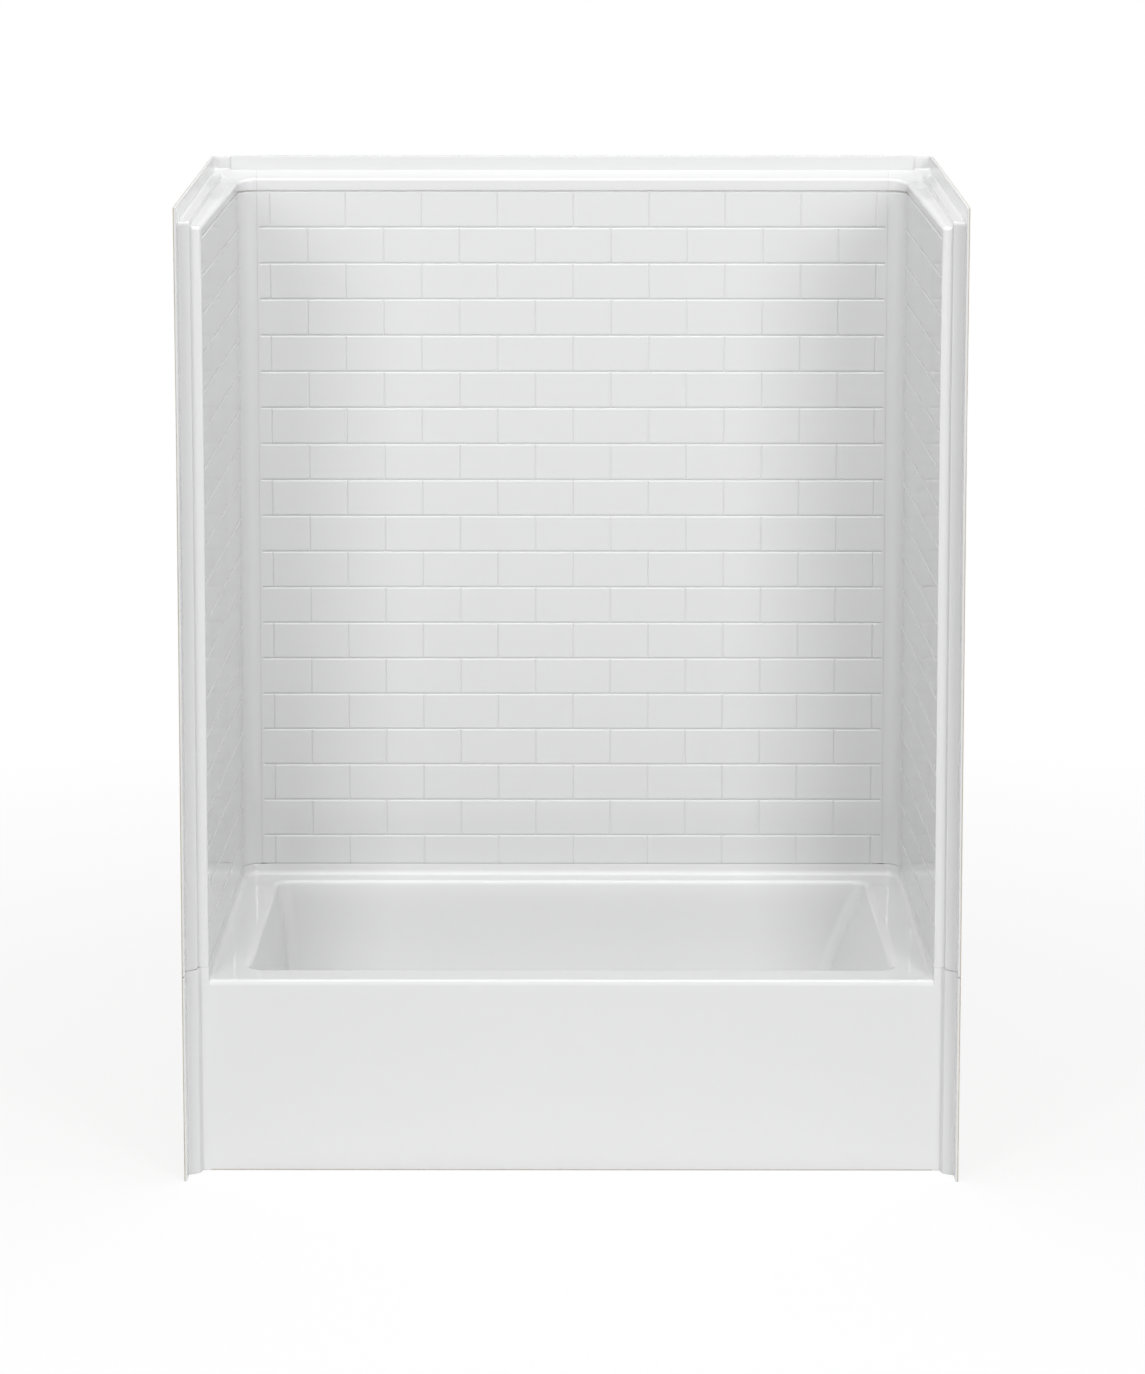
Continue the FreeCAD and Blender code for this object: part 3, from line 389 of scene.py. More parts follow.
# Tub, upstand: a low wall on three sides, with a soft fillet to the deck and a flange turned out at its
# top that carries the panels. The walls draw in a little towards the back, to coves in the corners.
cove_radius = 34 * mm
cove_x = wall_back_half - cove_radius * (1 - math.sin(slant)) / math.cos(slant)
cove_y = back_face - cove_radius
rear_inside = rear_edge - flange_skin
upstand_fillet = 11 * mm
fillet_tuck = 3 * mm
fillet_fade = 26 * mm


def cove_arc(count, radius=cove_radius):
    """Plan of the right cove, from the side wall round to the back wall."""
    turn = np.linspace(slant, math.pi / 2, count)
    return np.array([cove_x, cove_y]) + radius * spoke(turn)


def wall_path(grown=0.0):
    """Plan of the walls' inner face on three sides, from the left front round the coves to the right
    front, moved outwards by grown."""
    roll_end, cove_start = apron_face + deck_edge_radius, cove_y + cove_radius * math.sin(slant)
    y = np.concatenate([apron_face + deck_edge_radius * (1 - np.cos(quarter(8))),
                        np.linspace(roll_end, cove_start, 30)[1:-1]])
    side = plan(wall_half(y), y) + grown * spoke(slant)
    cove = cove_arc(18, cove_radius + grown)
    x = np.linspace(cove_x, 0, 24)[1:]
    half = np.concatenate([side, cove, plan(x, back_face + grown)])
    return np.concatenate([half, half[::-1][1:] * np.array([-1, 1])])


def outer_wall_path():
    """Plan of the flanges' outer edge on three sides, point for point with wall_path: straight out from
    the side walls, along rays from the cove's centre, and straight back from the back wall."""
    path = wall_path()
    x, y = np.abs(path[:, 0]), path[:, 1]
    ray = np.arctan2(y - cove_y, x - cove_x)
    cos, sin = np.maximum(np.cos(ray), 1e-6), np.maximum(np.sin(ray), 1e-6)
    reach = np.minimum((flange_inside - cove_x) / cos, (rear_inside - cove_y) / sin)
    outer_x = np.where(y < cove_y, flange_inside, np.where(x < cove_x, x, cove_x + reach * cos))
    outer_y = np.where(y < cove_y, y, np.where(x < cove_x, rear_inside, cove_y + reach * sin))
    return plan(np.sign(path[:, 0]) * outer_x, outer_y)


def upstand_part():
    """The upstand: its section, from the deck through the fillet and the face to its outer side, carried
    round the walls. Its foot follows the quarter roll of the deck down at the front, and its fillet fades
    out there."""
    height = tub_top - deck_level
    curve = bend((-upstand_fillet, 0), (0, 0), (0, upstand_fillet), 8)
    turn = quarter(4)
    top = plan(small_round * (1 - np.cos(turn)), height - small_round * (1 - np.sin(turn)))
    outside = [(tub_skin, height), (tub_skin, -tub_skin), (0, -tub_skin)]
    section = np.concatenate([[(-upstand_fillet, -fillet_tuck)], curve, top, outside])
    path = wall_path()
    short = deck_edge_radius - np.clip(path[:, 1] - apron_face, 0, deck_edge_radius)
    roll = deck_edge_radius - np.sqrt(deck_edge_radius ** 2 - short ** 2)
    fade = smooth((path[:, 1] - apron_face) / fillet_fade)
    rings = np.empty((len(path), len(section), 3))
    for k, (out, up) in enumerate(section):
        share = fade[:, None] if out < 0 else 1
        rings[:, k, :2] = path + (wall_path(out) - path) * share
        rings[:, k, 2] = deck_level + up - roll * np.clip(1 - up / height, 0, 1)
    return tube(rings)


def shelf(inner, outer, z_low, z_high):
    """A level plate between two plan paths of as many points, with its outer edge rounded."""
    half = (z_high - z_low) / 2
    middle = (z_high + z_low) / 2
    turn = np.linspace(math.pi / 2, -math.pi / 2, 7)
    reach = np.linalg.norm(outer - inner, axis=-1, keepdims=True)
    aim = (outer - inner) / reach
    halfway = inner + aim * (reach - half) * 0.5
    rows = [raised(inner, middle + half), raised(halfway, middle + half)]
    for angle in turn:
        rows.append(raised(outer - aim * half * (1 - math.cos(angle)), middle + half * math.sin(angle)))
    rows += [raised(halfway, middle - half), raised(inner, middle - half)]
    return tube(np.stack(rows, axis=1))


def tub_flange():
    """The flange that the tub turns out under the panels."""
    return shelf(wall_path(tub_skin / 2), outer_wall_path(), tub_top - tub_skin, tub_top)


# Tub, skin: glossy white gelcoat, which every moulding has. Its colour drifts by a hair, its gloss by a
# little more, and it has the faint waviness of a sprayed mould. The rear is bare chopped-glass laminate,
# and the same laminate colour is painted as shadow at the apron's foot and as shade on the flanges' front
# edges.
def join(tree, *links):
    """Links pairs of sockets."""
    for source, target in links:
        tree.links.new(source, target)


def new_node(tree, kind, values={}, **settings):
    """A shader node with values for its inputs and settings of its own."""
    node = tree.nodes.new(f"ShaderNode{kind}")
    for setting, value in settings.items():
        setattr(node, setting, value)
    for socket, value in values.items():
        node.inputs[socket].default_value = value
    return node


def math_node(tree, operation, first, second):
    """A Math node whose inputs are sockets or numbers."""
    node = new_node(tree, "Math", operation=operation)
    for socket, value in zip(node.inputs, (first, second)):
        if hasattr(value, "is_output"):
            tree.links.new(value, socket)
        else:
            socket.default_value = value
    return node.outputs[0]


def grain_group():
    """Cloudy noise on the object's own coordinates, for any material. It puts out its mask, which also
    serves as a height for bumps, and a colour that goes from the tint to the shade where it is thick."""
    group = bpy.data.node_groups.new("cloud", "ShaderNodeTree")
    for socket, kind, value in (
            ("Scale", "Float", 4.0), ("Detail", "Float", 3.0), ("Stretch", "Vector", (1.0, 1.0, 1.0)),
            ("Tint", "Color", (0.8, 0.8, 0.8, 1.0)), ("Shade", "Color", (0.7, 0.7, 0.7, 1.0)),
            ("Amount", "Float", 0.5)):
        item = group.interface.new_socket(socket, in_out="INPUT", socket_type=f"NodeSocket{kind}")
        item.default_value = value
    for socket, kind in (("Color", "Color"), ("Mask", "Float")):
        group.interface.new_socket(socket, in_out="OUTPUT", socket_type=f"NodeSocket{kind}")
    entry, leave = group.nodes.new("NodeGroupInput"), group.nodes.new("NodeGroupOutput")
    place = new_node(group, "TexCoord")
    scale = new_node(group, "VectorMath", operation="MULTIPLY")
    noise = new_node(group, "TexNoise")
    mask = math_node(group, "MULTIPLY", noise.outputs["Fac"], entry.outputs["Amount"])
    mix = new_node(group, "Mix", data_type="RGBA")
    join(group,
         (place.outputs["Object"], scale.inputs[0]), (entry.outputs["Stretch"], scale.inputs[1]),
         (scale.outputs[0], noise.inputs["Vector"]), (entry.outputs["Scale"], noise.inputs["Scale"]),
         (entry.outputs["Detail"], noise.inputs["Detail"]), (mask, mix.inputs[0]),
         (entry.outputs["Tint"], mix.inputs[6]), (entry.outputs["Shade"], mix.inputs[7]),
         (mix.outputs[2], leave.inputs["Color"]), (noise.outputs["Fac"], leave.inputs["Mask"]))
    return group


cloud = grain_group()


def new_material(name):
    """An empty material with one Principled shader."""
    material = bpy.data.materials.new(name)
    material.use_nodes = True
    tree = material.node_tree
    return material, tree, tree.nodes["Principled BSDF"]


def use_cloud(tree, **values):
    """Places the cloud group in a material with its own values."""
    return new_node(tree, "Group", values, node_tree=cloud)


def remap(tree, value, low, high):
    """A mask from 0 to 1 spread between two values."""
    node = new_node(tree, "MapRange", {"To Min": low, "To Max": high})
    tree.links.new(value, node.inputs["Value"])
    return node.outputs["Result"]


def bump(tree, height, strength, distance):
    """The normal of a surface that a height raises."""
    node = new_node(tree, "Bump", {"Strength": strength, "Distance": distance})
    tree.links.new(height, node.inputs["Height"])
    return node.outputs["Normal"]


def gelcoat_material():
    """White gelcoat on the faces, with bare laminate where the rear attribute is 1: the real rear, and the
    painted shadow at the apron's foot and painted shade on the nailing flanges' front edges.
    """
    material, tree, shader = new_material("gelcoat_white")
    face = use_cloud(tree, Scale=2.2, Detail=2.0, Amount=0.6, Tint=(0.712, 0.713, 0.715, 1),
                     Shade=(0.696, 0.697, 0.700, 1))
    waves = use_cloud(tree, Scale=5.0, Detail=1.0, Amount=1.0)
    glass = use_cloud(tree, Scale=55.0, Detail=8.0, Amount=0.9, Stretch=(1.0, 1.0, 0.35),
                      Tint=(0.61, 0.57, 0.48, 1), Shade=(0.37, 0.33, 0.26, 1))
    # The rear attribute also marks painted shadow and shade, which take the laminate colour.
    rear = new_node(tree, "Attribute", attribute_name="rear")
    side = math_node(tree, "GREATER_THAN", rear.outputs["Fac"], 0.5)
    colour = new_node(tree, "Mix", data_type="RGBA")
    gloss = new_node(tree, "Mix")
    height = new_node(tree, "Mix")
    join(tree, (side, colour.inputs[0]), (face.outputs["Color"], colour.inputs[6]),
         (glass.outputs["Color"], colour.inputs[7]), (colour.outputs[2], shader.inputs["Base Color"]),
         (side, gloss.inputs[0]), (remap(tree, face.outputs["Mask"], 0.02, 0.04), gloss.inputs[2]),
         (remap(tree, glass.outputs["Mask"], 0.45, 0.8), gloss.inputs[3]),
         (gloss.outputs[0], shader.inputs["Roughness"]), (side, height.inputs[0]),
         (remap(tree, waves.outputs["Mask"], 0.0, 0.03), height.inputs[2]),
         (glass.outputs["Mask"], height.inputs[3]))
    join(tree, (bump(tree, height.outputs[0], 0.3, 0.002), shader.inputs["Normal"]))
    shader.inputs["IOR"].default_value = 1.5
    shader.inputs["Specular IOR Level"].default_value = 0.5
    return material


gelcoat = gelcoat_material()

# Tub, put together: its parts as one mesh. All mouldings, seals included, are moved by the few millimetres
# by which those in the photograph stand off the plain plan; the values were fitted to its edges.
deck_fall, seam_fall, middle_fall, back_rise = -14 * mm, -7.5 * mm, -0.75 * mm, 11.5 * mm
skin_room, skin_fade = 16 * mm, 8 * mm
return_room, return_depth, return_foot = 40 * mm, 30 * mm, 200 * mm
floor_clear_height, floor_fade = 60 * mm, 250 * mm
deck_top, deck_fade = 412 * mm, 30 * mm
seam_top, seam_fade = 505 * mm, 60 * mm
foot_lean, top_lean = -9 * mm, 0.5 * mm
lean_low, lean_high = 430 * mm, 1500 * mm
lean_front, lean_fade, lean_foot, lean_foot_fade = 100 * mm, 250 * mm, 250 * mm, 150 * mm
flare_heights = np.array([0, 400, 1000, 1500]) * mm
flares = np.array([5, 4.4, 2, 0]) * mm
back_flare, flare_inside, flare_fade = 2 * mm, 580 * mm, 100 * mm
flange_taper, taper_clear = 13 * mm, 4 * mm
taper_start, taper_rise = 1500 * mm, 300 * mm
crease_angle = math.radians(38)


def settle(points):
    """Moves points by four shifts. Near the seam and below it they drop at the apron and rise at the
    back, in proportion to their depth. The back wall leans forward at its foot. The sides spread towards
    the floor. The flange round the top closes in, in proportion to its depth and its place beyond the
    wall. The first two fade out just outside the skin and towards the floor."""
    x, y, z = np.moveaxis(points.copy(), -1, 0)
    depth = (y - apron_face) / (back_face - apron_face)
    wall = wall_front_half + (wall_back_half - wall_front_half) * depth
    near_front = smooth((apron_face + return_depth - y) / skin_room) * (z > return_foot)
    room = skin_room + return_room * near_front
    inside = smooth((wall + room - np.abs(x)) / skin_fade) * smooth((back_face + skin_room - y) / skin_fade)
    inside = inside * smooth((z - floor_clear_height) / floor_fade)
    near_seam = smooth((seam_top - z) / seam_fade)
    front_fall = deck_fall + (seam_fall - deck_fall) * smooth((z - deck_top) / deck_fade)
    nearer = front_fall + (middle_fall - front_fall) * depth * 2
    further = middle_fall + (back_rise - middle_fall) * (depth * 2 - 1)
    fall = np.where(depth < 0.5, nearer, further) * near_seam * inside
    lean = np.interp(z, [lean_low, lean_high], [foot_lean, top_lean])
    lean = lean * inside * smooth((y - lean_front) / lean_fade) * smooth((z - lean_foot) / lean_foot_fade)
    flare = np.interp(z, flare_heights, flares) - back_flare * inside * np.clip(depth, 0, 1)
    flare = flare * smooth((np.abs(x) - flare_inside) / flare_fade)
    beyond = np.clip((np.abs(x) - wall - taper_clear) / (half_width - wall - taper_clear), 0, 1)
    taper = flange_taper * beyond * np.clip(depth, 0, 1.08) * smooth((z - taper_start) / taper_rise)
    return np.stack([x + np.sign(x) * (flare - taper), y + lean, z + fall], axis=-1)


def add(name, data):
    """A new object in the scene."""
    thing = bpy.data.objects.new(name, data)
    bpy.context.scene.collection.objects.link(thing)
    return thing


def make_piece(name, parts, material):
    """One settled mesh from closed parts, with smooth faces, sharp edges above the crease angle and a
    point attribute that is 1 on the raw rear of the laminate and on the painted shadow and shade marks."""
    points = settle(np.concatenate([part[0] for part in parts]))
    starts = np.cumsum([0] + [len(part[0]) for part in parts[:-1]])
    quads = np.concatenate([part[1] + start for part, start in zip(parts, starts)])
    rear = np.concatenate([part[2] for part in parts])
    mesh = bpy.data.meshes.new(name)
    faces = [tuple(dict.fromkeys(quad)) for quad in quads.tolist()]
    mesh.from_pydata(points.tolist(), [], faces)
    mesh.attributes.new("rear", "FLOAT", "POINT").data.foreach_set("value", rear.astype(np.float32))
    work = bmesh.new()
    work.from_mesh(mesh)
    bmesh.ops.dissolve_degenerate(work, dist=1e-6, edges=work.edges[:])
    bmesh.ops.recalc_face_normals(work, faces=work.faces[:])
    work.to_mesh(mesh)
    work.free()
    mesh.polygons.foreach_set("use_smooth", np.ones(len(mesh.polygons), dtype=bool))
    mesh.set_sharp_from_angle(angle=crease_angle)
    mesh.materials.append(material)
    return add(name, mesh)


tub_parts = [apron_part(), basin_part(), upstand_part(), tub_flange()]
for side in (-1, 1):
    tub_parts += [tub_return(side), tub_fin(side)]
tub = make_piece("tub", tub_parts, gelcoat)
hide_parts("tub_shell")
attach(tub, "unit")

# Side panels, left and right: each is one moulding with a wall of tile courses, a cove at the back, the
# front returns, a ledge on top with a shallow recess, and the nailing flange that screws to the studs.
top_edge = float(side_high[2])
panel_foot = float(side_low[2])
joint_half = 655 * mm
panel_skin = 5 * mm
return_start = apron_face + 9 * mm
course_count = 19
groove_half = 3.0 * mm
groove_depth = 2.5 * mm
top_groove_share, side_groove_share = 1.8, 1.2
ledge_round = 7 * mm
return_plain_top, return_top, upper_lead = 1840 * mm, 1884 * mm, 5 * mm
stretch_start = 1850 * mm
corner_start, corner_rise = 1790 * mm, 90 * mm
corner_least, corner_most, least_bow = 2.5 * mm, 8 * mm, 0.6 * mm
panel_step, sharp_turn = strip_inner - 1 * mm, 0.5 * mm
panel_strip_low, panel_strip_high = apron_face - 12 * mm, strip_high + 3 * mm
foot_run, foot_drop = 0.8 * mm, 0.3 * mm
front_fade_run, cove_fade_run, cove_fade_past = 5 * mm, 12 * mm, 2 * mm
even_lead, even_trail, joint_margin = 30 * mm, 14 * mm, 1.2 * mm
ledge_low = 1895 * mm
ledge_high = 1907 * mm
back_ledge_root = 1914.5 * mm
back_ledge_edge = 1900 * mm
foot_hang, hang_rise = 1.3 * mm, 2 * mm
fin_length, fin_step, fin_bend, fin_root = 50 * mm, 0.6 * mm, 5 * mm, 6 * mm
fin_second, fin_lead, fin_back_start = 2 * mm, 10 * mm, 8 * mm
joint_start, joint_reach = 4 * mm, 31 * mm
joint_gap, joint_top_gap = 2 * mm, 2 * mm
recess_edge, recess_step = 21 * mm, 1.2 * mm
recess_end, recess_fade = 370 * mm, 8 * mm
slope_run = 39 * mm
root_round, root_lean = 4.5 * mm, 0.5 * mm
seen_courses, seen_heights = [0, 3, 16, 18], np.array([1872.6, 1647.4, 657.0, 503.4]) * mm
courses = np.interp(np.arange(course_count), seen_courses, seen_heights)
tile_top = courses[0] - 2 * groove_half


def ledge_height(x, y):
    """Height of the ledge: along the sides a band by the flange with a shallow recess in front of it, and
    along the back, where it is higher, a slope that falls towards the room."""
    recess = smooth((flange_inside - np.abs(x) - recess_edge) / recess_step)
    side = ledge_high - (ledge_high - ledge_low) * recess
    slope = np.clip((rear_inside - y) / slope_run, 0, 1.2)
    back = back_ledge_root - (back_ledge_root - back_ledge_edge) * slope
    share = smooth((y - recess_end) / recess_fade)
    return side + share * np.maximum(back - side, 0)


def around(centres, half):
    """Grid lines for grooves: nine across each, with the outer two on the flat beside it."""
    spread = np.array([-1.6, -1.0, -0.67, -0.33, 0.0, 0.33, 0.67, 1.0, 1.6]) * half
    return (np.sort(centres)[:, None] + spread).ravel()


def groove(distance, half):
    """Depth share of a groove: the square of a cosine over its half width."""
    return np.cos(np.clip(np.abs(distance) / half, 0, 1) * math.pi / 2) ** 2


def fall_lines(reach):
    """Distances from the wall's face across the ledge to the flange's root."""
    near_flange = np.array([26, 22.8, 22.2, 21.9, 21.6, 21.3, 21.0, 20.4, 14, 8]) * mm
    first = ledge_round + (reach - near_flange[0] - ledge_round) * np.array([0.33, 0.67])[:, None]
    return np.concatenate([first, reach - near_flange[:, None]])


def panel_sheet(inner, away, reach, sunk, levels):
    """A panel's skin on a grid: up the wall, over the round edge, across the ledge and up the flange's
    root. Inner is the plan of the face, away its outward direction, reach the distance to the flange and
    sunk the depth of the grooves at each level and place. The rear is the same surface moved into the
    skin, without the grooves."""
    turn = quarter(8)[1:]
    edge = inner + away * ledge_round
    edge_height = ledge_height(edge[:, 0], edge[:, 1])
    count = len(inner)
    faces = []
    for inset in (0.0, panel_skin):
        outs, heights = [], []
        above = courses[0] + 2 * groove_half
        stretch = smooth((levels[:, None] - above) / (levels[-1] - above))
        outs.append(np.full((len(levels), count), inset) + (sunk if inset == 0 else 0))
        heights.append(levels[:, None] + stretch * (edge_height - ledge_round - levels[-1]))
        outs.append(ledge_round - (ledge_round - inset) * np.cos(turn)[:, None] + np.zeros(count))
        heights.append(edge_height - ledge_round + (ledge_round - inset) * np.sin(turn)[:, None])
        across = fall_lines(reach)
        spots = inner + away * across[..., None]
        outs.append(across)
        heights.append(ledge_height(spots[..., 0], spots[..., 1]) - inset)
        root = bend((-root_round, 0), (0, 0), (root_lean, root_round), 6)
        last = inner + away * (reach - root_round)[:, None]
        outs.append(reach + root[:, :1])
        heights.append(ledge_height(last[:, 0], last[:, 1]) - inset + root[:, 1:])
        out = np.concatenate(outs)
        points = np.empty(out.shape + (3,))
        points[..., :2] = inner + away * out[..., None]
        points[..., 2] = np.concatenate(heights)
        faces.append(points)
    return faces


def wall_levels():
    """Heights of the grid's rows from the panel's foot, over the grooves, to under the ledge's edge."""
    foot = panel_foot + np.array([0, 0.5, 1.5, 12, 40]) * mm
    return np.concatenate([foot, around(courses, groove_half), [ledge_low - ledge_round]])


def course_depth(levels):
    """Depth of the course grooves at each level, the top one deeper, as a column."""
    share = groove((levels - courses[:, None]).T[:, :, None], groove_half).max(axis=1)
    return share * groove_depth * np.where(levels > tile_top, top_groove_share, 1)[:, None]


def small_foot(levels):
    """How far the panel's lower edge turns in at its foot: a quarter round of the small radius."""
    rise = np.clip(levels - panel_foot, 0, small_round)
    return small_round - np.sqrt(small_round ** 2 - (small_round - rise) ** 2)


def side_wall_part():
    """The right wall and cove, from behind the front return to the joint with the back panel. The course
    grooves fade out before the cove, and only the top one runs on round it."""
    y = np.concatenate([return_start + np.array([0, 2, 4, 7, 12]) * mm,
                        np.linspace(return_start + even_lead, cove_y - even_trail, 16),
                        cove_y + np.array([-10, -6, -3]) * mm])
    joint = plan([joint_half + joint_margin, joint_half], back_face)
    inner = np.concatenate([plan(wall_half(y), y), cove_arc(30), joint])
    on_wall, on_back = inner[:, 1:] < cove_arc(1)[0, 1], inner[:, :1] < cove_x
    middle = np.array([cove_x, cove_y])
    away = np.where(on_wall, [1.0, 0.0], np.where(on_back, [0.0, 1.0], (inner - middle) / cove_radius))
    away /= np.linalg.norm(away, axis=-1, keepdims=True)
    ray = np.maximum(away, 1e-9)
    centre = np.where(on_wall | on_back, inner, middle)
    far = np.minimum((flange_inside - centre[:, 0]) / ray[:, 0], (rear_inside - centre[:, 1]) / ray[:, 1])
    reach = far - np.linalg.norm(inner - centre, axis=-1)
    levels = wall_levels()
    front_fade = smooth((inner[:, 1] - return_start) / front_fade_run)
    cove_fade = smooth((cove_y + cove_fade_past - inner[:, 1]) / cove_fade_run)
    fade = np.tile(front_fade * cove_fade, (len(levels), 1))
    fade[levels > tile_top] = front_fade
    sunk = course_depth(levels) * side_groove_share * fade + small_foot(levels)[:, None]
    return panel_sheet(inner, away, reach, sunk, levels)


def panel_return_path(corner, inset):
    """Plan of the right front return for a corner radius and a depth into the skin: wall, corner, inner
    strip, leaning step, outer strip and the fillet into the nailing flange."""
    face, low, high = (place + inset for place in (apron_face, panel_strip_low, panel_strip_high))
    wall = wall_front_half + inset
    bow = np.maximum(corner - inset, least_bow)
    step = panel_step + inset * rear_lean_share
    foot, toe = (step + foot_run, low - foot_drop), (flange_inside - fillet_run, high + fillet_rise)
    pieces = [
        np.linspace((wall_half(return_start) + inset, return_start), (wall, face + bow), 4)[:-1],
        bend((wall, face + bow), (wall, face), (wall + bow, face), 9),
        np.linspace((wall + bow, face), (step - sharp_turn, face), 4)[1:-1],
        bend((step - sharp_turn, face), (step, face), (step, face - sharp_turn), 6),
        bend((step, low + sharp_turn), (step, low), foot, 6),
        np.linspace(foot, toe, 4)[1:-1],
        bend(toe, (flange_inside, high), (flange_inside + sharp_turn, high - fillet_run), 6),
    ]
    return np.concatenate(pieces)


def panel_return_part():
    """The right front return, from the seam to its round top, and the ledge behind it as far as the wall
    sheet's start. Its lowest rows hang a little lower, over the seam. Towards the top its inner corner
    grows rounder and its rows stretch to the ledge's height."""
    levels = np.concatenate([panel_foot + np.array([0, 0.5, 1.5]) * mm,
                             np.linspace(panel_foot + even_lead, return_plain_top, 24),
                             np.linspace(return_plain_top + upper_lead, return_top, 10)])
    turn = quarter(8)[1:]
    faces = []
    for inset in (0.0, panel_skin):
        rows = []
        front_path = panel_return_path(corner_most, inset)
        behind = plan(np.maximum(front_path[:, 0], wall_front_half + ledge_round),
                      np.maximum(front_path[:, 1], return_start))
        top = ledge_height(behind[:, 0], return_start)
        for level in levels:
            rounder = smooth((level - corner_start) / corner_rise)
            path = panel_return_path(corner_least + (corner_most - corner_least) * rounder, inset)
            share = smooth((level - stretch_start) / (return_top - stretch_start))
            z = level - foot_hang * (level < panel_foot + hang_rise)
            rows.append(raised(path, z + share * (top - ledge_round - return_top)))
        aim = behind - front_path
        size = np.linalg.norm(aim, axis=-1, keepdims=True)
        aim = aim / np.maximum(size, 1e-9)
        for angle in turn:
            out = np.minimum((ledge_round - inset) * (1 - math.cos(angle)), size[:, 0])
            z = top - ledge_round + (ledge_round - inset) * math.sin(angle)
            rows.append(raised(front_path + aim * out[:, None], z))
        edge = rows[-1][:, :2]
        for share in (0.35, 0.7, 1.0):
            rows.append(raised(edge * (1 - share) + behind * share, top - inset))
        faces.append(np.array(rows))
    return faces


def on_side(points, side):
    """The right side's points, or their mirror image for side -1."""
    return points * np.array([side, 1, 1])


def panel_fin(side):
    """The nailing flange: full height beside the front return, and only above the ledge further back,
    round the corner and as far as the joint with the back panel."""
    half = flange_skin / 2
    x, y = half_width - half, rear_edge - half
    full_end = front_edge + fin_length
    along = np.concatenate([front_edge + half * (1 - np.cos(quarter(6))),
                            np.linspace(front_edge + half, full_end, 6)[1:],
                            [full_end + fin_step, full_end + fin_second],
                            np.linspace(full_end + fin_lead, y - fin_bend, 12)])
    corner = np.array([x - fin_bend, y - fin_bend]) + fin_bend * spoke(quarter(6)[1:])
    end = joint_half + half * (1 - np.sin(quarter(6)))
    back = np.concatenate([np.linspace(x - fin_back_start, joint_half + half, 5)[:-1], end])
    path = np.concatenate([plan(x, along), corner, plan(back, y)])
    over_ledge = ledge_height(path[:, 0], path[:, 1]) - fin_root
    low = np.where(path[:, 1] < full_end + fin_step / 2, panel_foot, over_ledge)
    # Its outer side and the outer part of its front edge take the laminate colour, the latter as painted
    # shade.
    return bare_side_and_painted_shade(plate(path * np.array([side, 1]), flange_skin, low, top_edge, trimmed))


def upright_flange(x):
    """An upright flange behind the wall, through which the corner bolts pass."""
    run = back_face + joint_start + nose_run(joint_reach, panel_skin)
    return plate(plan(x, run), panel_skin, panel_foot, back_ledge_edge - joint_top_gap)


def foot_flange(keep):
    """The level flange at the foot of a panel, over the tub's own, for the part of the walls' plan that
    is kept by its x."""
    kept = keep(wall_path()[:, 0])
    inner, outer = wall_path(panel_skin / 2)[kept], outer_wall_path()[kept]
    return shelf(inner, outer, panel_foot, panel_foot + panel_skin)


for side, name in ((-1, "left"), (1, "right")):
    parts = []
    for front, rear in (side_wall_part(), panel_return_part()):
        parts.append(shell(on_side(front, side), on_side(rear, side)))
    parts.append(panel_fin(side))
    parts.append(upright_flange(side * (joint_half + panel_skin / 2)))
    parts.append(foot_flange(lambda x: x * side > joint_half))
    panel = make_piece(f"{name}_wall", parts, gelcoat)
    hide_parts(f"{name}_wall_panel")
    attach(panel, "unit")

# Back panel: one moulding with nineteen tile courses in running bond, a ledge that slopes to the room,
# and the nailing flange above it, whose ends lap in front of the side panels' flanges.
back_half = joint_half - 0.3 * mm
back_flange_half = joint_half - joint_gap
joint_half_groove = 1.9 * mm
joint_depth = 1.7 * mm
joint_clear, edge_margin = 6 * mm, 1 * mm
groove_end, groove_end_step = 649.5 * mm, 0.2 * mm
bond_length = 157.4 * mm
bond_middle = 1.7 * mm
lap_end, lap_overlap, lap_bite = 712 * mm, 20 * mm, 0.1 * mm
back_fin_root, back_fin_rise, lap_rise = 8 * mm, 2.5 * mm, 2 * mm
cut_square = 0.05


def back_wall_part():
    """The back wall's skin: course grooves from side to side, with upright joints between them that shift
    by half a tile from course to course."""
    even = bond_middle + bond_length * np.arange(-4, 5)
    odd = bond_middle + bond_length * (np.arange(-4, 4) + 0.5)
    even = even[np.abs(even) < back_half - joint_clear]
    lines = around(np.concatenate([even, odd]), joint_half_groove)
    ends = np.array([groove_end - groove_end_step, groove_end + groove_end_step,
                     back_half - edge_margin, back_half])
    x = np.sort(np.concatenate([-ends, lines, ends]))
    x = x[np.abs(x) <= back_half]
    inner = plan(x, back_face)
    away = np.broadcast_to(np.array([0.0, 1.0]), inner.shape)
    reach = np.full(len(x), rear_inside - back_face)
    levels = wall_levels()
    rows = course_depth(levels) * ((np.abs(x) < groove_end) | (levels > tile_top)[:, None])
    course = (levels[:, None] <= courses).sum(axis=1, keepdims=True) - 1
    joints = [groove(x - spots[:, None], joint_half_groove).max(axis=0) for spots in (even, odd)]
    upright = np.where(course % 2 == 0, joints[0], joints[1]) * joint_depth * (course >= 0)
    sunk = np.maximum(rows, upright) + small_foot(levels)[:, None]
    return panel_sheet(inner, away, reach, sunk, levels)


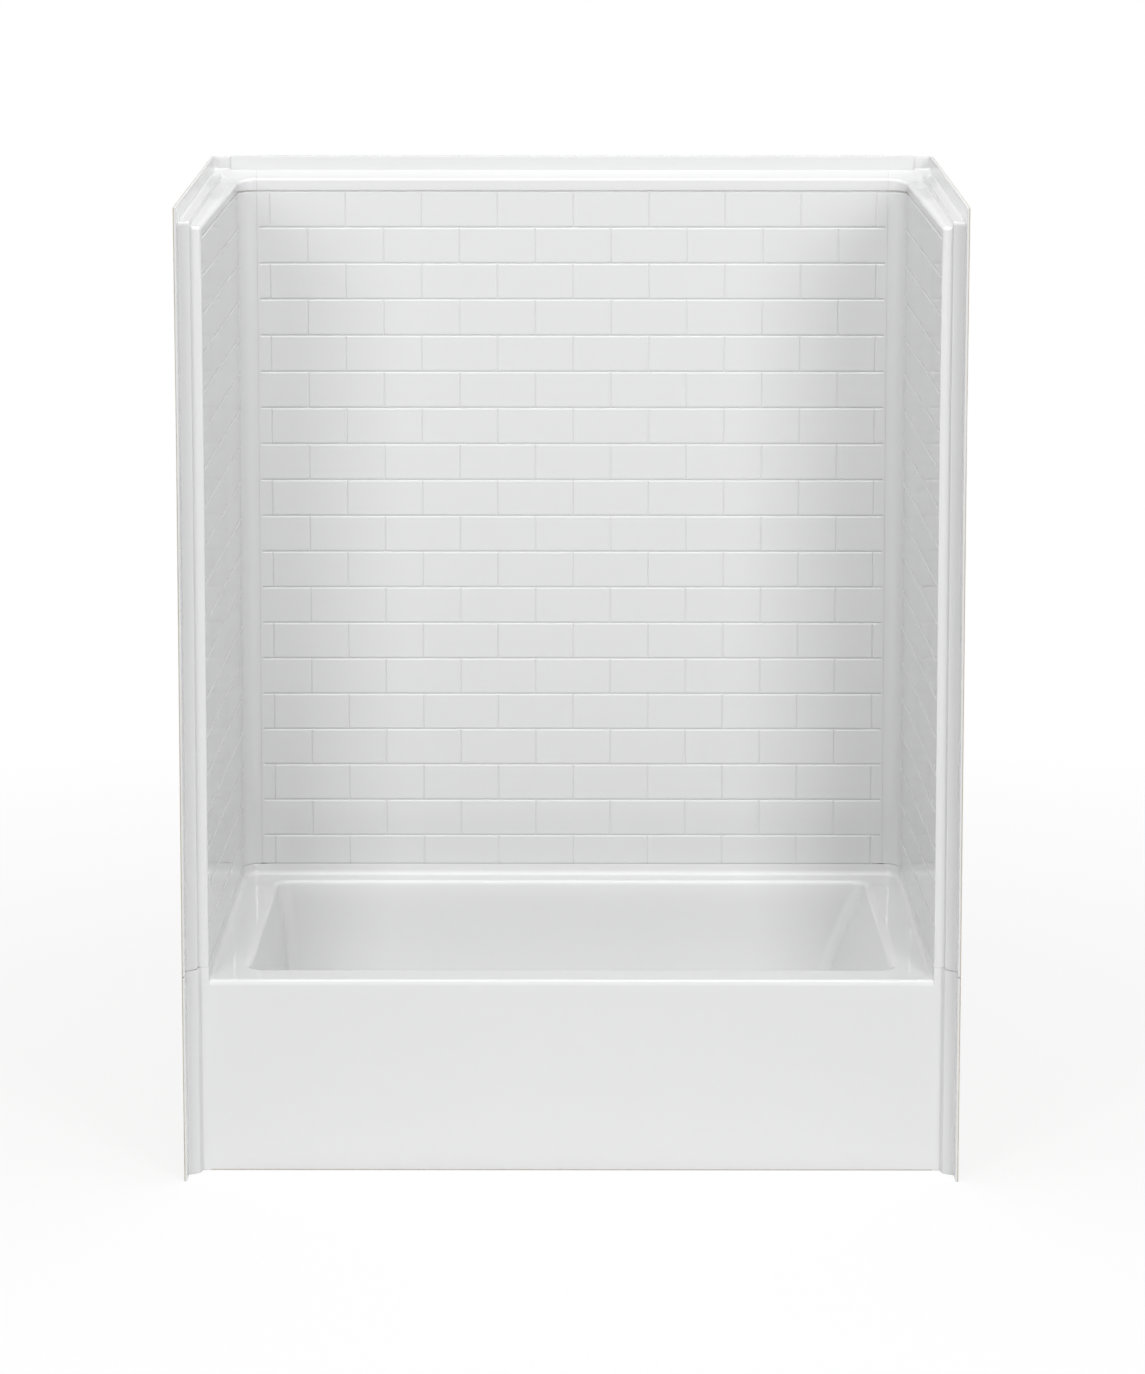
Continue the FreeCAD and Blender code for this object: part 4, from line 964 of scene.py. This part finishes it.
front, rear = back_wall_part()
parts = [shell(front, rear)]
lap_skin = panel_skin + flange_skin
run = -back_flange_half + nose_run(2 * back_flange_half, lap_skin)
path = plan(run, rear_edge - lap_skin / 2)
parts.append(plate(path, lap_skin, back_ledge_root - back_fin_root, top_edge + back_fin_rise, cut_square))
for side in (-1, 1):
    run = side * (lap_end - nose_run(lap_end - back_flange_half + lap_overlap, panel_skin))
    path = plan(run, rear_inside - panel_skin / 2 + lap_bite)
    parts.append(plate(path, panel_skin, back_ledge_root - fin_root, top_edge + lap_rise, cut_square))
    parts.append(upright_flange(side * (back_flange_half - panel_skin / 2)))
parts.append(foot_flange(lambda x: np.abs(x) < back_half))
back_wall = make_piece("back_wall", parts, gelcoat)
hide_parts("back_wall_panel")
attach(back_wall, "unit")

# Seals: strips of closed-cell foam squeezed between the tub and the panels' feet, and upright ones in the
# corner joints. Only their edges show, as a fine grey line.
seal_set_in = 0.3 * mm
seam_seal_width, corner_seal_width = 24 * mm, 22 * mm
seal_end = 5 * mm


def clouded(name, tint, shade, gloss, relief, scale, detail=4.0, metallic=0.0):
    """A finish whose colour, gloss and height drift with one cloud. Gloss is its least and greatest
    roughness, and relief the bump's strength and distance."""
    material, tree, shader = new_material(name)
    grain = use_cloud(tree, Scale=scale, Detail=detail, Amount=1.0, Tint=tint, Shade=shade)
    join(tree, (grain.outputs["Color"], shader.inputs["Base Color"]),
         (remap(tree, grain.outputs["Mask"], *gloss), shader.inputs["Roughness"]),
         (bump(tree, grain.outputs["Mask"], *relief), shader.inputs["Normal"]))
    shader.inputs["Metallic"].default_value = metallic
    return material


foam = clouded("grey_foam", (0.60, 0.60, 0.60, 1), (0.48, 0.48, 0.49, 1), (0.7, 0.95), (0.3, 0.0004),
               900.0, 3.0)
strips = []
for name, keep in (("seam_seal_left", lambda x: x < -joint_half),
                   ("seam_seal_right", lambda x: x > joint_half),
                   ("seam_seal_back", lambda x: np.abs(x) < joint_half)):
    kept = keep(wall_path()[:, 0])
    inner, outer = wall_path(seal_set_in)[kept], wall_path(seam_seal_width)[kept]
    strips.append((name, shelf(inner, outer, tub_top, panel_foot)))
for side, name in ((-1, "corner_seal_left"), (1, "corner_seal_right")):
    run = back_face + joint_start + nose_run(corner_seal_width, joint_gap)
    path = plan(side * (joint_half - joint_gap / 2), run)
    strips.append((name, plate(path, joint_gap, panel_foot + seal_end, ledge_low - seal_end)))
for name, strip in strips:
    seal = make_piece(f"{name}_strip", [strip], foam)
    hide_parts(name)
    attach(seal, "unit")

# Boards and runners: plywood bonded behind the laminate to stiffen it, on two softwood runners that carry
# the basin on the floor.
def wood_material(name, stretch, tint, shade, scale):
    """Wood: a grain cloud drawn out along the length, over a broader cloud, both matt."""
    material, tree, shader = new_material(name)
    grain = use_cloud(tree, Scale=scale, Detail=6.0, Amount=1.0, Stretch=stretch, Tint=tint, Shade=shade)
    patches = use_cloud(tree, Scale=3.0, Detail=2.0, Amount=0.5, Tint=(1, 1, 1, 1),
                        Shade=(0.75, 0.72, 0.68, 1))
    product = new_node(tree, "Mix", {0: 1.0}, data_type="RGBA", blend_type="MULTIPLY")
    join(tree, (grain.outputs["Color"], product.inputs[6]), (patches.outputs["Color"], product.inputs[7]),
         (product.outputs[2], shader.inputs["Base Color"]),
         (remap(tree, grain.outputs["Mask"], 0.55, 0.85), shader.inputs["Roughness"]),
         (bump(tree, grain.outputs["Mask"], 0.4, 0.0008), shader.inputs["Normal"]))
    return material


def finish(name, material):
    """Gives a piece that keeps its plain solid its material."""
    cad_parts[name].data.materials[0] = material


plywood = wood_material("plywood", (1.0, 1.0, 12.0), (0.62, 0.46, 0.28, 1), (0.42, 0.28, 0.15, 1), 9.0)
softwood = wood_material("softwood", (0.8, 14.0, 14.0), (0.66, 0.49, 0.29, 1), (0.45, 0.29, 0.14, 1), 6.0)
for name in ("back_wall_board", "left_wall_board", "right_wall_board", "apron_board", "base_board"):
    finish(name, plywood)
for name in ("base_runner_front", "base_runner_rear"):
    finish(name, softwood)

# Waste: a polished chrome drain and push-down stopper, a rubber washer and seal, a brass post, and a white
# plastic elbow under the floor that the trap slips onto.
even_relief, pitted_relief = (0.2, 0.0001), (0.2, 0.0003)
chrome = clouded("chrome", (0.80, 0.81, 0.82, 1), (0.72, 0.73, 0.74, 1), (0.05, 0.16), even_relief,
                 60.0, metallic=1.0)
rubber = clouded("black_rubber", (0.035, 0.035, 0.036, 1), (0.02, 0.02, 0.02, 1), (0.55, 0.8),
                 pitted_relief, 200.0)
white_plastic = clouded("white_plastic", (0.74, 0.74, 0.72, 1), (0.66, 0.66, 0.64, 1), (0.3, 0.45),
                        even_relief, 60.0)
brass = clouded("brass", (0.76, 0.60, 0.32, 1), (0.62, 0.46, 0.22, 1), (0.18, 0.35), even_relief,
                60.0, metallic=1.0)
for name, material in (("drain_flange", chrome), ("drain_stopper", chrome), ("drain_washer", rubber),
                       ("stopper_seal", rubber), ("stopper_post", brass), ("drain_elbow", white_plastic)):
    finish(name, material)

# Fasteners: zinc-plated steel bolts, washers and nuts. They clamp the two corner joints and the seam
# through the flanges behind the walls, with the foam strips between.
zinc = clouded("zinc_plate", (0.66, 0.67, 0.66, 1), (0.46, 0.47, 0.46, 1), (0.25, 0.5), (0.2, 0.0002),
               120.0, metallic=1.0)
for name in ("corner_bolts_left", "corner_bolts_right", "corner_nuts_left", "corner_nuts_right",
             "corner_washers_left", "corner_washers_right", "seam_bolts", "seam_nuts", "seam_washers"):
    finish(name, zinc)

# Studio: a plain pale floor that fades into a white surround, lit by four soft square lamps, three in
# front of the unit and one over it. The floor shows the camera an even near-white with the shadows on it,
# and the surround lights the unit less than it shows.
floor_reach = 6.0
floor_clear, floor_gone = 1.5, 3.5
floor_lift, floor_veil = 0.856, 0.14
surround_light = 0.238
mesh = bpy.data.meshes.new("studio_floor")
corners = np.array([[-1, -1, 0], [1, -1, 0], [1, 1, 0], [-1, 1, 0]]) * floor_reach
mesh.from_pydata(corners.tolist(), [], [(0, 1, 2, 3)])
floor = add("studio_floor", mesh)
floor_material, tree, shader = new_material("studio_floor")
shader.inputs["Base Color"].default_value = (0.93, 0.93, 0.93, 1)
shader.inputs["Roughness"].default_value = 0.9
rays = new_node(tree, "LightPath")
clear = new_node(tree, "BsdfTransparent")
lift = new_node(tree, "Emission", {"Strength": floor_lift})
lit = new_node(tree, "AddShader")
veil = new_node(tree, "BsdfDiffuse", {"Color": (floor_veil, floor_veil, floor_veil, 1)})
seen = new_node(tree, "MixShader")
fade = new_node(tree, "MixShader")
place = new_node(tree, "TexCoord")
away = new_node(tree, "VectorMath", operation="LENGTH")
spread = new_node(tree, "MapRange", {"From Min": floor_clear, "From Max": floor_gone})
join(tree, (veil.outputs[0], lit.inputs[0]), (lift.outputs[0], lit.inputs[1]),
     (rays.outputs["Is Camera Ray"], seen.inputs[0]), (shader.outputs[0], seen.inputs[1]),
     (lit.outputs[0], seen.inputs[2]), (place.outputs["Object"], away.inputs[0]),
     (away.outputs["Value"], spread.inputs["Value"]), (spread.outputs["Result"], fade.inputs[0]),
     (seen.outputs[0], fade.inputs[1]), (clear.outputs[0], fade.inputs[2]),
     (fade.outputs[0], tree.nodes["Material Output"].inputs["Surface"]))
mesh.materials.append(floor_material)

world = bpy.data.worlds.new("studio")
bpy.context.scene.world = world
world.use_nodes = True
tree = world.node_tree
surround = tree.nodes["Background"]
surround.inputs["Color"].default_value = (1, 1, 1, 1)
rays = new_node(tree, "LightPath")
open_rays = math_node(tree, "MAXIMUM", rays.outputs["Is Camera Ray"], rays.outputs["Is Glossy Ray"])
open_rays = math_node(tree, "MAXIMUM", open_rays, rays.outputs["Is Transmission Ray"])
level = new_node(tree, "MapRange", {"To Min": surround_light, "To Max": 1.0})
join(tree, (open_rays, level.inputs["Value"]), (level.outputs["Result"], surround.inputs["Strength"]))


def stand(thing, place, right, up, away):
    """Puts a lamp or camera at a place, with its own axes along right, up and away."""
    turn = Matrix([list(column) for column in zip(right, up, away)]).to_4x4()
    turn.translation = place
    thing.matrix_world = turn


def soft_lamp(name, place, target, size, power):
    """A square area lamp that faces a point."""
    lamp = bpy.data.lights.new(name, "AREA")
    lamp.shape = "SQUARE"
    lamp.size = size
    lamp.energy = power
    away = np.array(place, dtype=float) - np.array(target, dtype=float)
    away /= np.linalg.norm(away)
    right = np.cross([0.0, 0.0, 1.0], away)
    right /= np.linalg.norm(right)
    stand(add(name, lamp), place, right, np.cross(away, right), away)


unit_middle = (0.0, 0.0, 0.9)
soft_lamp("left", (-2.4, -5.5, 3.2), unit_middle, 1.5, 104)
soft_lamp("right", (2.4, -5.5, 3.2), unit_middle, 1.5, 132)
soft_lamp("front", (0.0, -7.0, 4.6), unit_middle, 3.5, 40)
soft_lamp("overhead", (0.0, -0.5, 4.6), (0.0, -0.3, 0.4), 2.2, 73)

# Camera: where the photograph was taken from, about ten metres back and three up, with a long lens turned
# down by 11 degrees. The place, the angles and the lens are those that fit the photograph's edges best.
camera_place = (0.01909, -10.13858, 3.16176)
turn_down, turn_side, roll = math.radians(10.999), math.radians(-0.100), math.radians(-0.014)
aim = np.array([math.sin(turn_side) * math.cos(turn_down), math.cos(turn_side) * math.cos(turn_down),
                -math.sin(turn_down)])
level_right = np.array([math.cos(turn_side), -math.sin(turn_side), 0.0])
level_down = np.cross(aim, level_right)
right = level_right * math.cos(roll) + level_down * math.sin(roll)
up = level_right * math.sin(roll) - level_down * math.cos(roll)
lens = bpy.data.cameras.new("camera")
lens.lens = 133.925
lens.sensor_width = 36
lens.shift_y = -0.0997
camera = add("camera", lens)
stand(camera, camera_place, right, up, -aim)
bpy.context.scene.camera = camera
bpy.context.scene.view_settings.view_transform = "Standard"
